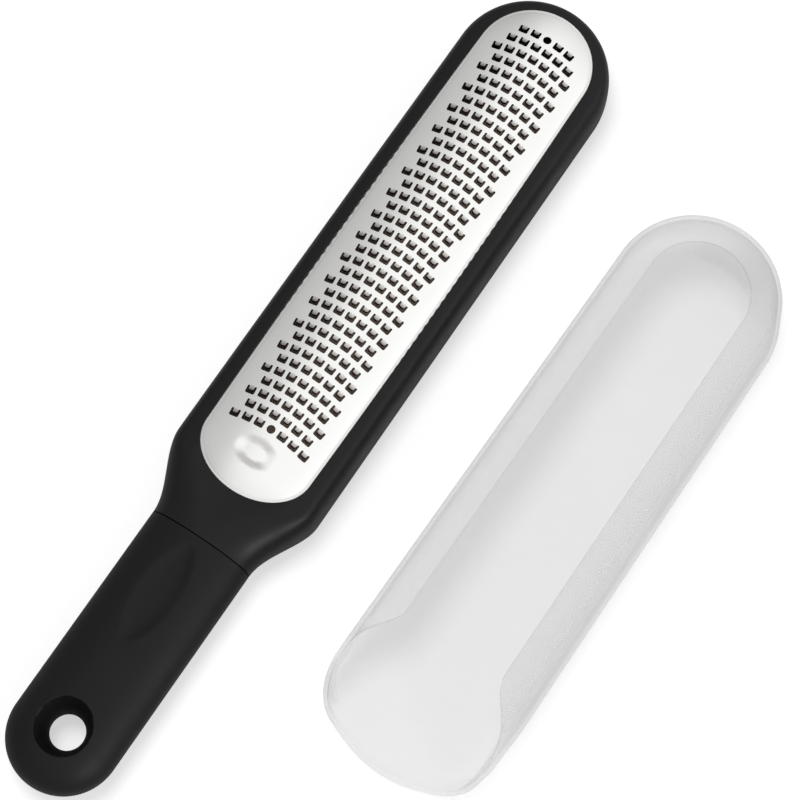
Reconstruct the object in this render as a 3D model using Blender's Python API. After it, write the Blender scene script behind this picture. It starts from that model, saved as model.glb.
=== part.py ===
"""Ginger grater: a domed, etched plate in a moulded head frame, with a soft grip and a slip-on cover.

The grater lies flat with its long axis along +Y. Its own frame has y = 0 at the seam between
head and grip. The cover lies beside it, open side up, and fits the head when slid on from the tip.
"""
import math

import bmesh
import bpy
from mathutils import Matrix, Vector
from mathutils.geometry import delaunay_2d_cdt

# Clearance between pieces that touch or seat in each other
GAP = 0.0003

# Head frame: a ring round the plate, open at the back, with a neck and a tang in one
HEAD_WIDTH = 0.0432
HEAD_LENGTH = 0.1741
HEAD_DEPTH = 0.0194
HEAD_WIDEST_HEIGHT = 0.0095
SHOULDER_INSET = 0.0040
SHOULDER_FULLNESS = 2.5
BACK_INSET = 0.0038
BACK_FULLNESS = 2.6
NECK_FLARE_LENGTH = 0.0210
TANG_WIDTH = 0.0180
TANG_THICKNESS = 0.0090
TANG_LENGTH = 0.0480
TANG_ROOT = 0.0060
TANG_EDGE_ROUND = 0.0015

# Opening of the frame, in which the plate shows
OPENING_WIDTH = 0.0320
OPENING_BULGE = 0.0007
TIP_RIM = 0.0042
NECK_RIM = 0.0144
HEEL_ROUND = 0.0120
LIP_EDGE = 0.0004
LEDGE = 0.0011
TROUGH_DRAFT = 0.0008

# Plate
PLATE_THICKNESS = 0.0006
DOME_RISE = 0.0035
SEAT_DEPTH = 0.0014
DIMPLE_LENGTH = 0.0108
DIMPLE_WIDTH = 0.0075
DIMPLE_DEPTH = 0.0006
DIMPLE_FROM_HEEL = 0.0112

# Teeth: rows on arcs across the plate, each tooth a tongue in a U-shaped opening
COLUMN_PITCH = 0.0035
ROW_PITCH = 0.00357
ROW_ARC_RADIUS = 0.0520
ROW_STAGGER_OFFSET = 0.00038
TEETH_TIP_MARGIN = 0.00905
TEETH_HEEL_MARGIN = 0.0177
TEETH_EDGE_MARGIN = 0.00485
TOOTH_WIDTH = 0.0025
TOOTH_LENGTH = 0.0021
TONGUE_WIDTH = 0.0012
TONGUE_LENGTH = 0.0011
TONGUE_RAISE = 0.00035
ROUND_HOLE_DIAMETER = 0.0023

# Soft grip
GRIP_WIDTH = 0.0296
GRIP_THICKNESS = 0.0200
GRIP_LENGTH = 0.0737
GRIP_FULLNESS = 2.2
HANG_HOLE_DIAMETER = 0.0092
HANG_HOLE_FLARE = 0.0162
HANG_HOLE_FROM_END = 0.0160
THUMB_DISH_LENGTH = 0.0300
THUMB_DISH_WIDTH = 0.0125
THUMB_DISH_DEPTH = 0.0012
THUMB_DISH_FROM_SEAM = 0.0024

# Cover: a tray with inturned lips, which the head slides into from the mouth end
COVER_WALL = 0.0011
COVER_FLOOR = 0.0013
COVER_LIP_THICKNESS = 0.0012
COVER_SIDE_CLEARANCE = 0.0003
COVER_HEIGHT_CLEARANCE = 0.0006
COVER_TAPER = 0.0008
COVER_LEAN = 0.0015
COVER_MOUTH_FROM_SEAM = 0.0064
COVER_LIP_REACH = 0.0103
COVER_SHOULDER = 0.0058
COVER_FLOOR_ROUND = 0.0050
COVER_MOUTH_ROUND = 0.0186
COVER_LIP_FADE_START = 0.0370
COVER_LIP_FADE_LENGTH = 0.0180
COVER_MOUTH_EDGE_HEIGHT = 0.0022
COVER_ASIDE = 0.0695
COVER_BACK = 0.0279
COVER_TURN = 0.0125

# Facets
TIP_STEPS = 20
NECK_STEPS = 9
SIDE_STEPS = 5
SECTION_STEPS = 6
GRIP_END_STEPS = 18
GRIP_SIDE_STEPS = 5
GRIP_SECTION_STEPS = 14
HOLE_STEPS = 24
COVER_END_STEPS = 16
COVER_FADE_STEPS = 7
COVER_SECTION_STEPS = 10


def clear_scene():
    """Starts from an empty scene."""
    for thing in list(bpy.data.objects):
        bpy.data.objects.remove(thing, do_unlink=True)


def smooth(value):
    """Smooth step from 0 to 1."""
    value = min(1.0, max(0.0, value))
    return value * value * (3.0 - 2.0 * value)


def mix(a, b, share):
    return a + (b - a) * share


def finish_material(name, colour, roughness, metallic=0.0, alpha=1.0):
    """One Principled finish with a plain colour."""
    material = bpy.data.materials.new(name)
    material.use_nodes = True
    shader = material.node_tree.nodes["Principled BSDF"]
    shader.inputs["Base Color"].default_value = (*colour, 1.0)
    shader.inputs["Roughness"].default_value = roughness
    shader.inputs["Metallic"].default_value = metallic
    shader.inputs["Alpha"].default_value = alpha
    return material


def add_object(name, mesh, parent=None, material=None, smooth_angle=math.radians(40)):
    """Puts a finished bmesh into the scene as one named object."""
    data = bpy.data.meshes.new(name)
    mesh.to_mesh(data)
    mesh.free()
    data.shade_smooth()
    data.set_sharp_from_angle(angle=smooth_angle)
    thing = bpy.data.objects.new(name, data)
    bpy.context.collection.objects.link(thing)
    thing.parent = parent
    if material:
        data.materials.append(material)
    return thing


def skin(rings, wrap):
    """Closed mesh over rings of points: the rings close on themselves in order, and with wrap
    each ring closes too. Points that fall together are merged, so a ring may end on an axis."""
    mesh = bmesh.new()
    grid = [[mesh.verts.new(point) for point in ring] for ring in rings]
    count = len(grid[0])
    for i, ring in enumerate(grid):
        following = grid[(i + 1) % len(grid)]
        for j in range(count if wrap else count - 1):
            k = (j + 1) % count
            mesh.faces.new((ring[j], following[j], following[k], ring[k]))
    bmesh.ops.remove_doubles(mesh, verts=mesh.verts, dist=1e-6)
    bmesh.ops.dissolve_degenerate(mesh, edges=mesh.edges, dist=1e-6)
    bmesh.ops.triangulate(mesh, faces=[f for f in mesh.faces if len(f.verts) > 4])
    bmesh.ops.recalc_face_normals(mesh, faces=mesh.faces)
    return mesh


def cut(target, cutter, operation="DIFFERENCE"):
    """Boolean on target with a hidden cutter."""
    cutter.hide_render = True
    cutter.display_type = "WIRE"
    modifier = target.modifiers.new(cutter.name, "BOOLEAN")
    modifier.operation = operation
    modifier.object = cutter
    modifier.solver = "EXACT"


def rounded(angle, reach_x, reach_z, fullness):
    """Point of a superellipse quarter: inset from the widest line, and height above it."""
    power = 2.0 / fullness
    inset = reach_x * (1.0 - max(0.0, math.cos(angle)) ** power)
    return inset, reach_z * max(0.0, math.sin(angle)) ** power


# Shape of the dome, shared by the plate, its groove and the lip round it

OPENING_HALF = OPENING_WIDTH / 2
OPENING_TIP_CENTRE = HEAD_LENGTH - TIP_RIM - OPENING_HALF
OPENING_HEEL_CENTRE = NECK_RIM + HEEL_ROUND
DOME_RADIUS = (OPENING_HALF ** 2 + DOME_RISE ** 2) / (2 * DOME_RISE)
CROWN_HEIGHT = HEAD_DEPTH - LIP_EDGE - GAP + DOME_RISE


def dome_height(x, y):
    """Height of the plate's upper face: a barrel along the head, closed by a cap at each end."""
    if y > OPENING_TIP_CENTRE:
        reach = math.hypot(x, y - OPENING_TIP_CENTRE)
    elif y < OPENING_HEEL_CENTRE:
        reach = math.hypot(x, (y - OPENING_HEEL_CENTRE) * OPENING_HALF / HEEL_ROUND)
    else:
        reach = abs(x)
    reach = min(reach, DOME_RADIUS * 0.9)
    return CROWN_HEIGHT - DOME_RADIUS + math.sqrt(DOME_RADIUS ** 2 - reach ** 2)


def opening_point(station, outset):
    """Point of the opening's outline, moved outwards by outset. A station runs from -1 at the
    heel through 0 to 1 along the straight side and on to 2 at the tip, and is negated on the left."""
    side = 1.0 if station[1] > 0 else -1.0
    place = station[0]
    half = OPENING_HALF + outset
    if place < 0:
        angle = -place * math.pi / 2
        return side * half * math.cos(angle), OPENING_HEEL_CENTRE - (HEEL_ROUND + outset) * math.sin(angle)
    if place > 1:
        angle = (place - 1) * math.pi / 2
        return side * half * math.cos(angle), OPENING_TIP_CENTRE + half * math.sin(angle)
    bulge = OPENING_BULGE * 4 * place * (1 - place)
    return side * (half + bulge), mix(OPENING_HEEL_CENTRE, OPENING_TIP_CENTRE, place)


def head_half_width(y):
    """Half the head's width at the height where it is widest, flaring from the grip's width."""
    return mix(GRIP_WIDTH, HEAD_WIDTH, smooth(y / NECK_FLARE_LENGTH)) / 2


def right_stations(neck_steps, side_steps, tip_steps):
    """Stations from the seam up the right side to the tip, the tip's own point left out."""
    places = [-1 + i / neck_steps for i in range(neck_steps)]
    places += [i / side_steps for i in range(side_steps)]
    places += [1 + i / tip_steps for i in range(tip_steps)]
    return places


def mirrored(places, last):
    """The whole round: up the right side, over the tip and down the left."""
    return [(p, 1) for p in places] + [(last, 1)] + [(p, -1) for p in reversed(places)]


def head_ring(station):
    """One section of the head frame, from the widest line over the lip, groove and trough."""
    place, side = station
    centre_y = HEAD_LENGTH - HEAD_WIDTH / 2
    if place > 1:
        angle = (place - 1) * math.pi / 2
        inward = Vector((-side * math.cos(angle), -math.sin(angle)))
        outline = Vector((0, centre_y)) - inward * HEAD_WIDTH / 2
        flare = 1.0
        half = HEAD_WIDTH / 2
    else:
        y = mix(OPENING_HEEL_CENTRE, centre_y, place) if place > 0 else OPENING_HEEL_CENTRE * (1 + place)
        half = head_half_width(y)
        inward = Vector((-side, 0))
        outline = Vector((side * half, y))
        flare = smooth(y / NECK_FLARE_LENGTH)
    widest = mix(GRIP_THICKNESS / 2, HEAD_WIDEST_HEIGHT, flare)
    top = mix(GRIP_THICKNESS, HEAD_DEPTH, flare)
    shoulder = mix(half, SHOULDER_INSET, flare)
    back = mix(half, BACK_INSET, flare)
    full_top = mix(GRIP_FULLNESS, SHOULDER_FULLNESS, flare)
    full_back = mix(GRIP_FULLNESS, BACK_FULLNESS, flare)
    points = []
    for i in range(SECTION_STEPS + 1):
        inset, rise = rounded(i / SECTION_STEPS * math.pi / 2, shoulder, top - widest, full_top)
        points.append((outline + inward * inset).to_3d() + Vector((0, 0, widest + rise)))
    lip = opening_point(station, 0.0)
    groove = opening_point(station, SEAT_DEPTH + GAP)
    ledge = opening_point(station, -LEDGE)
    trough = opening_point(station, -LEDGE + TROUGH_DRAFT)
    under = PLATE_THICKNESS + GAP
    points.append(Vector((*lip, HEAD_DEPTH)))
    points.append(Vector((*lip, dome_height(*lip) + GAP)))
    points.append(Vector((*groove, dome_height(*groove) + GAP)))
    points.append(Vector((*groove, dome_height(*groove) - under)))
    points.append(Vector((*ledge, dome_height(*ledge) - under)))
    points.append(Vector((*trough, 0.0)))
    for i in range(SECTION_STEPS, 0, -1):
        inset, drop = rounded(i / SECTION_STEPS * math.pi / 2, back, widest, full_back)
        points.append((outline + inward * inset).to_3d() + Vector((0, 0, widest - drop)))
    return points


def block(name, size, centre, edge_round, parent):
    """Box with rounded long edges, for the tang and its socket."""
    mesh = bmesh.new()
    bmesh.ops.create_cube(mesh, size=1.0)
    bmesh.ops.scale(mesh, vec=size, verts=mesh.verts)
    bmesh.ops.translate(mesh, vec=centre, verts=mesh.verts)
    long_edges = [e for e in mesh.edges if abs((e.verts[0].co - e.verts[1].co).y) > size[1] / 2]
    bmesh.ops.bevel(mesh, geom=long_edges, offset=edge_round, segments=2, affect="EDGES", profile=0.5)
    return add_object(name, mesh, parent)


def make_head_frame(parent):
    """Ring, neck and tang as one moulding in hard black plastic."""
    stations = mirrored(right_stations(NECK_STEPS, SIDE_STEPS, TIP_STEPS // 2), 2)
    mesh = skin([head_ring(s) for s in stations], wrap=True)
    frame = add_object("head_frame", mesh, parent, finish_material("satin_black_plastic", (0.017, 0.017, 0.018), 0.38))
    length = TANG_LENGTH + TANG_ROOT
    centre = Vector((0, TANG_ROOT - length / 2, GRIP_THICKNESS / 2))
    tang = block("tang_form", Vector((TANG_WIDTH, length, TANG_THICKNESS)), centre, TANG_EDGE_ROUND, parent)
    cut(frame, tang, "UNION")
    return frame


# Plate

def tooth_outline(spread, x, y, turn):
    """Corners of one U-shaped opening, counter-clockwise, with the tongue's tip corners flagged.
    The tongue is rooted on the tip side and points to the handle."""
    half = TOOTH_WIDTH / 2
    low = -TOOTH_LENGTH / 2
    high = TOOTH_LENGTH / 2
    tongue = TONGUE_WIDTH / 2
    reach = high - TONGUE_LENGTH
    corners = [
        (-half, low, False), (half, low, False), (half, high, False), (tongue, high, False),
        (tongue, reach, True), (-tongue, reach, True), (-tongue, high, False), (-half, high, False),
    ]
    cosine = math.cos(turn)
    sine = math.sin(turn)
    return [(x + cx * cosine - cy * sine, y + cx * sine + cy * cosine, raised) for cx, cy, raised in corners]


def round_outline(x, y, diameter, steps):
    return [
        (x + diameter / 2 * math.cos(2 * math.pi * i / steps), y + diameter / 2 * math.sin(2 * math.pi * i / steps), False)
        for i in range(steps)
    ]


def inside_margin(x, y):
    """True where a tooth lies far enough inside the plate's visible outline."""
    room = OPENING_HALF - TEETH_EDGE_MARGIN
    if y > OPENING_TIP_CENTRE:
        return math.hypot(x, y - OPENING_TIP_CENTRE) <= room
    return abs(x) <= room


def plate_openings():
    """Outlines of all the teeth and of the two round holes that end the middle column."""
    first = HEAD_LENGTH - TIP_RIM - TEETH_TIP_MARGIN
    last = NECK_RIM + TEETH_HEEL_MARGIN
    rows = int((first - last) / ROW_PITCH + 0.01) + 1
    columns = int((OPENING_HALF - TEETH_EDGE_MARGIN) / COLUMN_PITCH)
    outlines = []
    for row in range(rows):
        staggered = row % 2 == 1
        places = [i + 0.5 for i in range(-columns, columns)] if staggered else range(-columns, columns + 1)
        for place in places:
            x = place * COLUMN_PITCH + (ROW_STAGGER_OFFSET if staggered else 0.0)
            y = first - row * ROW_PITCH - x * x / (2 * ROW_ARC_RADIUS)
            if not inside_margin(x, y):
                continue
            if place == 0 and row in (0, rows - 1):
                outlines.append(round_outline(x, y, ROUND_HOLE_DIAMETER, 12))
            else:
                outlines.append(tooth_outline(place, x, y, -x / ROW_ARC_RADIUS * 0.6))
    return outlines


def plate_edge(stations, outset):
    return [opening_point(s, outset) for s in stations]


def dimple_drop(x, y):
    """Depth of the pressed oval between the teeth and the heel."""
    centre = NECK_RIM + DIMPLE_FROM_HEEL
    reach = math.hypot(x / (DIMPLE_LENGTH / 2), (y - centre) / (DIMPLE_WIDTH / 2))
    return DIMPLE_DEPTH * (1.0 - smooth(reach))


def free_points():
    """Points off the openings that let the sheet follow the dome and the dimple."""
    points = []
    side = OPENING_HALF - 0.15 * OPENING_HALF
    steps = int((OPENING_TIP_CENTRE - OPENING_HEEL_CENTRE) / (2 * ROW_PITCH))
    for i in range(steps + 1):
        y = mix(OPENING_HEEL_CENTRE, OPENING_TIP_CENTRE, i / steps)
        points += [(side, y), (-side, y)]
    for i in range(1, 8):
        angle = i * math.pi / 8
        reach = OPENING_HALF * 0.85
        points.append((reach * math.cos(angle), OPENING_TIP_CENTRE + reach * math.sin(angle)))
        points.append((reach * math.cos(angle), OPENING_HEEL_CENTRE - HEEL_ROUND * 0.8 * math.sin(angle)))
    centre = NECK_RIM + DIMPLE_FROM_HEEL
    points.append((0.0, centre))
    for share, steps in ((0.35, 8), (0.7, 12), (1.0, 16)):
        for i in range(steps):
            angle = 2 * math.pi * (i + 0.5) / steps
            points.append((share * DIMPLE_LENGTH / 2 * math.cos(angle), centre + share * DIMPLE_WIDTH / 2 * math.sin(angle)))
    return points


def make_grater_plate(parent):
    """Etched sheet: outline, openings and inner points are triangulated flat, then domed."""
    stations = mirrored(right_stations(8, 20, 8), 2)[:-1]
    outer = plate_edge(stations, SEAT_DEPTH)
    flat = [Vector(p) for p in outer]
    raised = [False] * len(flat)
    loops = [list(range(len(flat)))]
    for outline in plate_openings():
        start = len(flat)
        flat += [Vector((x, y)) for x, y, _ in outline]
        raised += [up for _, _, up in outline]
        loops.append(list(range(start, len(flat))))
    inner = [Vector(p) for p in free_points()]
    flat += inner
    raised += [False] * len(inner)
    edges = [(loop[i], loop[(i + 1) % len(loop)]) for loop in loops for i in range(len(loop))]
    scale = 1000.0
    places, _, faces, sources, _, _ = delaunay_2d_cdt([p * scale for p in flat], edges, [], 0, 1e-6)
    is_raised = [any(raised[s] for s in source) for source in sources]
    holes = [[flat[i] for i in loop] for loop in loops[1:]]
    boxes = [(min(p.x for p in h), max(p.x for p in h), min(p.y for p in h), max(p.y for p in h), h) for h in holes]
    mesh = bmesh.new()
    top = []
    bottom = []
    for place, up in zip(places, is_raised):
        x, y = place / scale
        height = dome_height(x, y) - dimple_drop(x, y) + (TONGUE_RAISE if up else 0.0)
        top.append(mesh.verts.new((x, y, height)))
        bottom.append(mesh.verts.new((x, y, height - PLATE_THICKNESS)))
    border = {}
    for face in faces:
        centre = sum((places[i] for i in face), Vector((0, 0))) / len(face) / scale
        if any(b[0] < centre.x < b[1] and b[2] < centre.y < b[3] and in_outline(centre, b[4]) for b in boxes):
            continue
        if not in_outline(centre, flat[:len(outer)]):
            continue
        mesh.faces.new([top[i] for i in face])
        mesh.faces.new([bottom[i] for i in reversed(face)])
        for i in range(len(face)):
            a, b = face[i], face[(i + 1) % len(face)]
            if (b, a) in border:
                del border[(b, a)]
            else:
                border[(a, b)] = True
    for a, b in border:
        mesh.faces.new((top[b], top[a], bottom[a], bottom[b]))
    loose = [v for v in mesh.verts if not v.link_faces]
    bmesh.ops.delete(mesh, geom=loose, context="VERTS")
    bmesh.ops.recalc_face_normals(mesh, faces=mesh.faces)
    steel = finish_material("satin_stainless_steel", (0.62, 0.62, 0.63), 0.32, 1.0)
    return add_object("grater_plate", mesh, parent, steel, math.radians(30))


def in_outline(point, outline):
    """Even-odd test of a point against a closed outline."""
    inside = False
    for i, a in enumerate(outline):
        b = outline[i - 1]
        if (a.y > point.y) != (b.y > point.y):
            if point.x < a.x + (point.y - a.y) * (b.x - a.x) / (b.y - a.y):
                inside = not inside
    return inside


# Grip

GRIP_HALF = GRIP_WIDTH / 2
GRIP_END_CENTRE = GRIP_HALF - GRIP_LENGTH


def grip_ring(point, inward, depth):
    """Section of the grip along one inward line, from the belly to the back."""
    points = []
    for i in range(GRIP_SECTION_STEPS + 1):
        angle = (2 * i / GRIP_SECTION_STEPS - 1) * math.pi / 2
        inset, rise = rounded(abs(angle), depth, GRIP_THICKNESS / 2, GRIP_FULLNESS)
        place = point + inward * inset
        points.append(Vector((place.x, place.y, GRIP_THICKNESS / 2 + math.copysign(rise, angle))))
    return points


def turned(name, profile, centre, parent, steps=HOLE_STEPS):
    """Solid of revolution about a vertical axis, from (radius, height) pairs."""
    rings = []
    for i in range(steps):
        angle = 2 * math.pi * i / steps
        rings.append([centre + Vector((r * math.cos(angle), r * math.sin(angle), z)) for r, z in profile])
    return add_object(name, skin(rings, wrap=False), parent)


def hang_hole_profile():
    """Waisted bore: narrowest at mid height and flaring to both faces, closed at both ends."""
    middle = GRIP_THICKNESS / 2
    waist = HANG_HOLE_DIAMETER / 2
    flare = HANG_HOLE_FLARE / 2 - waist
    profile = [(0.0, -middle * 0.2)]
    for i in range(13):
        share = i / 6 - 1
        profile.append((waist + flare * abs(share) ** 1.6 * 1.25, middle * (1 + share * 1.2)))
    profile.append((0.0, middle * 2.2))
    return profile


def thumb_dish_form(parent):
    """Long ellipsoid that leaves the oval dish when it is cut out of the grip's back."""
    length = THUMB_DISH_LENGTH / 2
    width = THUMB_DISH_WIDTH / 2
    crown_drop = GRIP_THICKNESS / 2 * (1 - (1 - (width / GRIP_HALF) ** GRIP_FULLNESS) ** (1 / GRIP_FULLNESS))
    bulge = THUMB_DISH_DEPTH + crown_drop
    radius = (width ** 2 + bulge ** 2) / (2 * bulge)
    mesh = bmesh.new()
    bmesh.ops.create_uvsphere(mesh, u_segments=32, v_segments=20, radius=radius)
    bmesh.ops.rotate(mesh, cent=(0, 0, 0), matrix=Matrix.Rotation(math.pi / 2, 3, "X"), verts=mesh.verts)
    bmesh.ops.scale(mesh, vec=(1.0, length / width, 1.0), verts=mesh.verts)
    centre_y = -THUMB_DISH_FROM_SEAM - length
    height = GRIP_THICKNESS - THUMB_DISH_DEPTH + radius
    bmesh.ops.translate(mesh, vec=(0, centre_y, height), verts=mesh.verts)
    return add_object("thumb_dish_form", mesh, parent)


def make_handle_grip(parent):
    """Soft sleeve over the tang, closed at its end, with the hanging hole through it."""
    right = []
    for i in range(GRIP_SIDE_STEPS + 1):
        y = mix(-GAP, GRIP_END_CENTRE, i / GRIP_SIDE_STEPS)
        right.append((Vector((GRIP_HALF, y)), Vector((-1, 0))))
    end = []
    for i in range(1, GRIP_END_STEPS):
        angle = math.pi * i / GRIP_END_STEPS
        inward = Vector((-math.cos(angle), math.sin(angle)))
        end.append((Vector((0, GRIP_END_CENTRE)) - inward * GRIP_HALF, inward))
    left = [(Vector((-p.x, p.y)), Vector((1, 0))) for p, _ in reversed(right)]
    rings = [grip_ring(p, inward, GRIP_HALF) for p, inward in right + end + left]
    rubber = finish_material("soft_black_grip", (0.018, 0.017, 0.018), 0.62)
    grip = add_object("handle_grip", skin(rings, wrap=False), parent, rubber)
    socket_length = TANG_LENGTH + GAP
    socket = block(
        "socket_form",
        Vector((TANG_WIDTH + 2 * GAP, socket_length + TANG_ROOT, TANG_THICKNESS + 2 * GAP)),
        Vector((0, TANG_ROOT - (socket_length + TANG_ROOT) / 2, GRIP_THICKNESS / 2)),
        TANG_EDGE_ROUND, parent,
    )
    cut(grip, socket)
    hole_y = HANG_HOLE_FROM_END - GRIP_LENGTH
    cut(grip, turned("hang_hole_form", hang_hole_profile(), Vector((0, hole_y, 0)), parent))
    cut(grip, thumb_dish_form(parent))
    return grip


# Cover

COVER_HEIGHT = CROWN_HEIGHT + COVER_HEIGHT_CLEARANCE + COVER_FLOOR + COVER_LIP_THICKNESS
COVER_WALL_RISE = COVER_HEIGHT - COVER_SHOULDER - COVER_FLOOR_ROUND
COVER_LEAN_AT_HEAD = COVER_LEAN * (
    COVER_HEIGHT - COVER_LIP_THICKNESS - HEAD_WIDEST_HEIGHT - COVER_FLOOR_ROUND
) / COVER_WALL_RISE
COVER_FIT = COVER_SIDE_CLEARANCE + COVER_WALL + COVER_LEAN_AT_HEAD
COVER_TIP_HALF = HEAD_WIDTH / 2 + COVER_FIT
COVER_MOUTH_HALF = COVER_TIP_HALF + COVER_TAPER
COVER_LENGTH = HEAD_LENGTH + COVER_FIT - COVER_MOUTH_FROM_SEAM
COVER_TIP_CENTRE = COVER_LENGTH / 2 - COVER_TIP_HALF
COVER_MOUTH_CENTRE = COVER_MOUTH_ROUND - COVER_LENGTH / 2


def cover_profile(half):
    """Outer and inner line of the full section, as equally many (inset, height) pairs each."""
    top = COVER_HEIGHT
    outer = [(half, 0.0)]
    inner = [(half, COVER_FLOOR)]
    quarter = COVER_SECTION_STEPS // 2
    bend = COVER_FLOOR_ROUND
    for i in range(quarter + 1):
        angle = i / quarter * math.pi / 2
        outer.append((bend - bend * math.sin(angle), bend - bend * math.cos(angle)))
        inner.append((bend - (bend - COVER_WALL) * math.sin(angle), bend - (bend - COVER_FLOOR) * math.cos(angle)))
    bend = COVER_SHOULDER
    centre = COVER_LEAN + bend
    for i in range(quarter + 1):
        angle = i / quarter * math.pi / 2
        rise = bend - COVER_LIP_THICKNESS
        outer.append((centre - bend * math.cos(angle), top - bend + bend * math.sin(angle)))
        inner.append((centre - (bend - COVER_WALL) * math.cos(angle), top - bend + rise * math.sin(angle)))
    outer.append((COVER_LIP_REACH, top))
    inner.append((COVER_LIP_REACH, top - COVER_LIP_THICKNESS))
    return outer, inner


def along(line, share):
    """Point at a share of the way along a polyline."""
    steps = [math.dist(a, b) for a, b in zip(line, line[1:])]
    goal = share * sum(steps)
    for a, b, step in zip(line, line[1:], steps):
        if goal <= step:
            return tuple(mix(p, q, goal / step if step else 0.0) for p, q in zip(a, b))
        goal -= step
    return line[-1]


def trimmed(line, share, fixed):
    """The line cut off at a share of its length, keeping its first points and as many in all."""
    steps = [math.dist(a, b) for a, b in zip(line, line[1:])]
    total = sum(steps)
    shares = [sum(steps[:i]) / total for i in range(len(line))]
    start = shares[fixed]
    return line[:fixed] + [along(line, mix(start, share, (s - start) / (1 - start))) for s in shares[fixed:]]


def cover_ring(outline, axis, half, keep):
    """One section of the cover, cut off at the share of its length given by keep."""
    inward = (axis - outline).normalized()
    outer, inner = cover_profile(half)
    reach = (axis - outline).length
    ring = []
    for line in (trimmed(outer, keep, 1), list(reversed(trimmed(inner, keep, 1)))):
        for inset, height in line:
            place = outline + inward * min(inset * reach / half if inset > COVER_LIP_REACH else inset, reach)
            ring.append(Vector((place.x, place.y, height)))
    return ring


def lip_share(y):
    """How much of the section is left at y, from the whole lip down to the low mouth edge."""
    outer, _ = cover_profile(COVER_MOUTH_HALF)
    steps = [math.dist(a, b) for a, b in zip(outer, outer[1:])]
    total = sum(steps)
    wall_top = (total - steps[-1] - COVER_SHOULDER * 1.2) / total
    mouth_edge = (steps[0] + COVER_FLOOR_ROUND * 0.75) / total
    fade_end = COVER_LIP_FADE_START - COVER_LIP_FADE_LENGTH
    from_mouth = y + COVER_LENGTH / 2
    if from_mouth > fade_end:
        return mix(wall_top, 1.0, smooth((from_mouth - fade_end) / COVER_LIP_FADE_LENGTH))
    return mix(mouth_edge, wall_top, smooth(max(0.0, from_mouth) / fade_end) ** 1.5)


def make_cover(parent):
    """Translucent tray with inturned lips, rounded at the tip and open at the mouth."""
    fade_top = COVER_LIP_FADE_START - COVER_LENGTH / 2
    fade_low = min(COVER_MOUTH_CENTRE, fade_top - COVER_LIP_FADE_LENGTH)
    right = []
    for i in range(COVER_FADE_STEPS):
        right.append(mix(COVER_MOUTH_CENTRE, fade_top, i / COVER_FADE_STEPS))
    for i in range(SIDE_STEPS):
        right.append(mix(fade_top, COVER_TIP_CENTRE, i / SIDE_STEPS))
    stations = []
    for i in range(COVER_END_STEPS // 2):
        angle = math.pi / 2 * (1 - i / (COVER_END_STEPS // 2))
        outline = Vector((COVER_MOUTH_HALF * math.cos(angle), COVER_MOUTH_CENTRE - COVER_MOUTH_ROUND * math.sin(angle)))
        stations.append((outline, Vector((0, COVER_MOUTH_CENTRE)), COVER_MOUTH_HALF))
    for y in right:
        share = (y - COVER_MOUTH_CENTRE) / (COVER_TIP_CENTRE - COVER_MOUTH_CENTRE)
        half = mix(COVER_MOUTH_HALF, COVER_TIP_HALF, share)
        stations.append((Vector((half, y)), Vector((0, y)), half))
    for i in range(COVER_END_STEPS // 2):
        angle = math.pi / 2 * i / (COVER_END_STEPS // 2)
        outline = Vector((COVER_TIP_HALF * math.cos(angle), COVER_TIP_CENTRE + COVER_TIP_HALF * math.sin(angle)))
        stations.append((outline, Vector((0, COVER_TIP_CENTRE)), COVER_TIP_HALF))
    rings = [cover_ring(o, a, h, lip_share(o.y)) for o, a, h in stations]
    tip_outline = Vector((0, COVER_TIP_CENTRE + COVER_TIP_HALF))
    rings.append(cover_ring(tip_outline, Vector((0, COVER_TIP_CENTRE)), COVER_TIP_HALF, 1.0))
    for outline, axis, half in reversed(stations[1:]):
        rings.append(cover_ring(Vector((-outline.x, outline.y)), axis, half, lip_share(outline.y)))
    plastic = finish_material("translucent_white_plastic", (0.86, 0.87, 0.87), 0.4, 0.0, 0.6)
    return add_object("cover", skin(rings, wrap=False), parent, plastic)


def empty(name, place, turn=0.0):
    holder = bpy.data.objects.new(name, None)
    bpy.context.collection.objects.link(holder)
    holder.location = place
    holder.rotation_euler.z = turn
    return holder


def centre_on_origin(holders, pieces):
    """Moves both holders so that the origin is the bottom centre of everything."""
    bpy.context.view_layer.update()
    corners = [piece.matrix_world @ vertex.co for piece in pieces for vertex in piece.data.vertices]
    low = [min(c[i] for c in corners) for i in range(3)]
    high = [max(c[i] for c in corners) for i in range(3)]
    for holder in holders:
        holder.location -= Vector(((low[0] + high[0]) / 2, (low[1] + high[1]) / 2, low[2]))


def main():
    clear_scene()
    grater = empty("grater_place", (0, 0, 0))
    cover_holder = empty("cover_place", (COVER_ASIDE, HEAD_LENGTH - COVER_BACK - COVER_LENGTH / 2, 0), -COVER_TURN)
    pieces = [
        make_head_frame(grater),
        make_grater_plate(grater),
        make_handle_grip(grater),
        make_cover(cover_holder),
    ]
    centre_on_origin((grater, cover_holder), pieces)


main()
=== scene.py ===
"""Looks of a ginger grater and its slip-on cover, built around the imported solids.

Each sub-assembly is a class that holds its sizes, builds a finer mesh than the solids have, and
dresses it. The grater's own frame has y = 0 at the seam between head and grip, and +Y to the tip.
Sizes are in metres unless a name says otherwise.
"""
import logging
import math
from dataclasses import dataclass, field
from enum import Enum
from functools import reduce
from operator import mul
from typing import Any, Sequence

import bmesh
import bpy
from bmesh.types import BMesh
from bpy.types import Material, Node, NodeSocket, NodeTree, Object
from mathutils import Euler, Matrix, Vector, bvhtree, geometry, kdtree


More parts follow.
